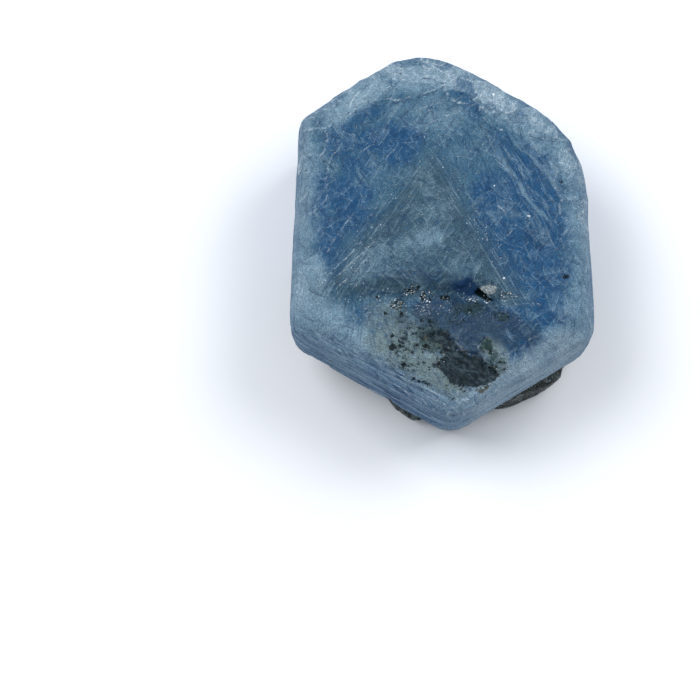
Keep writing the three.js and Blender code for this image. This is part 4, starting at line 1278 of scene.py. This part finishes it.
class SAPPHIRE_OT_stage(bpy.types.Operator):
    """Set up the pale floor, the soft lights and the camera"""

    bl_idname = "sapphire.stage"
    bl_label = "Stage"

    def execute(self, context):
        s = context.scene.sapphire_stage
        scene = context.scene
        floor_mesh = bpy.data.meshes.new("floor")
        corners = [(-1, -1, 0), (1, -1, 0), (1, 1, 0), (-1, 1, 0)]
        floor_mesh.from_pydata([Vector(at) * FLOOR_REACH for at in corners], [], [(0, 1, 2, 3)])
        floor = bpy.data.objects.new("floor", floor_mesh)
        scene.collection.objects.link(floor)
        b = Bench("pale_floor")
        tone = b.noise(b.place, 0.02, 2.0)
        paint = b.mix(tuple(s.floor), tuple(0.985 * c for c in s.floor), tone)
        floor_mesh.materials.append(b.finish({"Base Color": paint, "Roughness": 0.75}))

        world = bpy.data.worlds.new("soft_air")
        world.use_nodes = True
        air = world.node_tree.nodes["Background"]
        air.inputs["Color"].default_value = AIR_COLOUR
        air.inputs["Strength"].default_value = s.air
        scene.world = world

        for name, place, share in LAMPS:
            light = bpy.data.lights.new(name, "AREA")
            light.size = LAMP_SIZE
            light.energy = s.lamps * share
            lamp = bpy.data.objects.new(name, light)
            lamp.location = place
            lamp.rotation_euler = (-Vector(place)).to_track_quat("-Z", "Y").to_euler()
            scene.collection.objects.link(lamp)

        camera = bpy.data.cameras.new("camera")
        camera.lens = LENS_MM
        camera.sensor_width = SENSOR_MM
        camera.clip_start = 0.01
        eye = bpy.data.objects.new("camera", camera)
        eye.location = EYE
        eye.rotation_euler = (EYE_TILT, 0, 0)
        scene.collection.objects.link(eye)
        scene.camera = eye
        scene.view_settings.view_transform = "Standard"
        return {"FINISHED"}


class SAPPHIRE_PT_panel(bpy.types.Panel):
    """The crystal's pieces and its stage."""

    bl_idname = "SAPPHIRE_PT_panel"
    bl_label = "Sapphire Crystal"
    bl_space_type = "VIEW_3D"
    bl_region_type = "UI"
    bl_category = "Sapphire"

    def draw(self, context):
        for operator, settings in PARTS:
            box = self.layout.box()
            box.operator(operator.bl_idname)
            group = getattr(context.scene, settings)
            for name in group.bl_rna.properties.keys():
                if name not in ("rna_type", "name"):
                    box.prop(group, name)


GROUPS = {
    "sapphire_crystal": CrystalSettings,
    "sapphire_crust": CrustSettings,
    "sapphire_stage": StageSettings,
}
PARTS = [
    (SAPPHIRE_OT_crystal, "sapphire_crystal"),
    (SAPPHIRE_OT_crust, "sapphire_crust"),
    (SAPPHIRE_OT_stage, "sapphire_stage"),
]
CLASSES = [*GROUPS.values(), *(part for part, _ in PARTS), SAPPHIRE_PT_panel]


def register():
    for cls in CLASSES:
        bpy.utils.register_class(cls)
    for name, group in GROUPS.items():
        setattr(bpy.types.Scene, name, bpy.props.PointerProperty(type=group))


def unregister():
    for name in GROUPS:
        delattr(bpy.types.Scene, name)
    for cls in reversed(CLASSES):
        bpy.utils.unregister_class(cls)


def main():
    register()
    bpy.ops.sapphire.crystal()
    bpy.ops.sapphire.crust()
    bpy.ops.sapphire.stage()


if __name__ == "__main__":
    main()
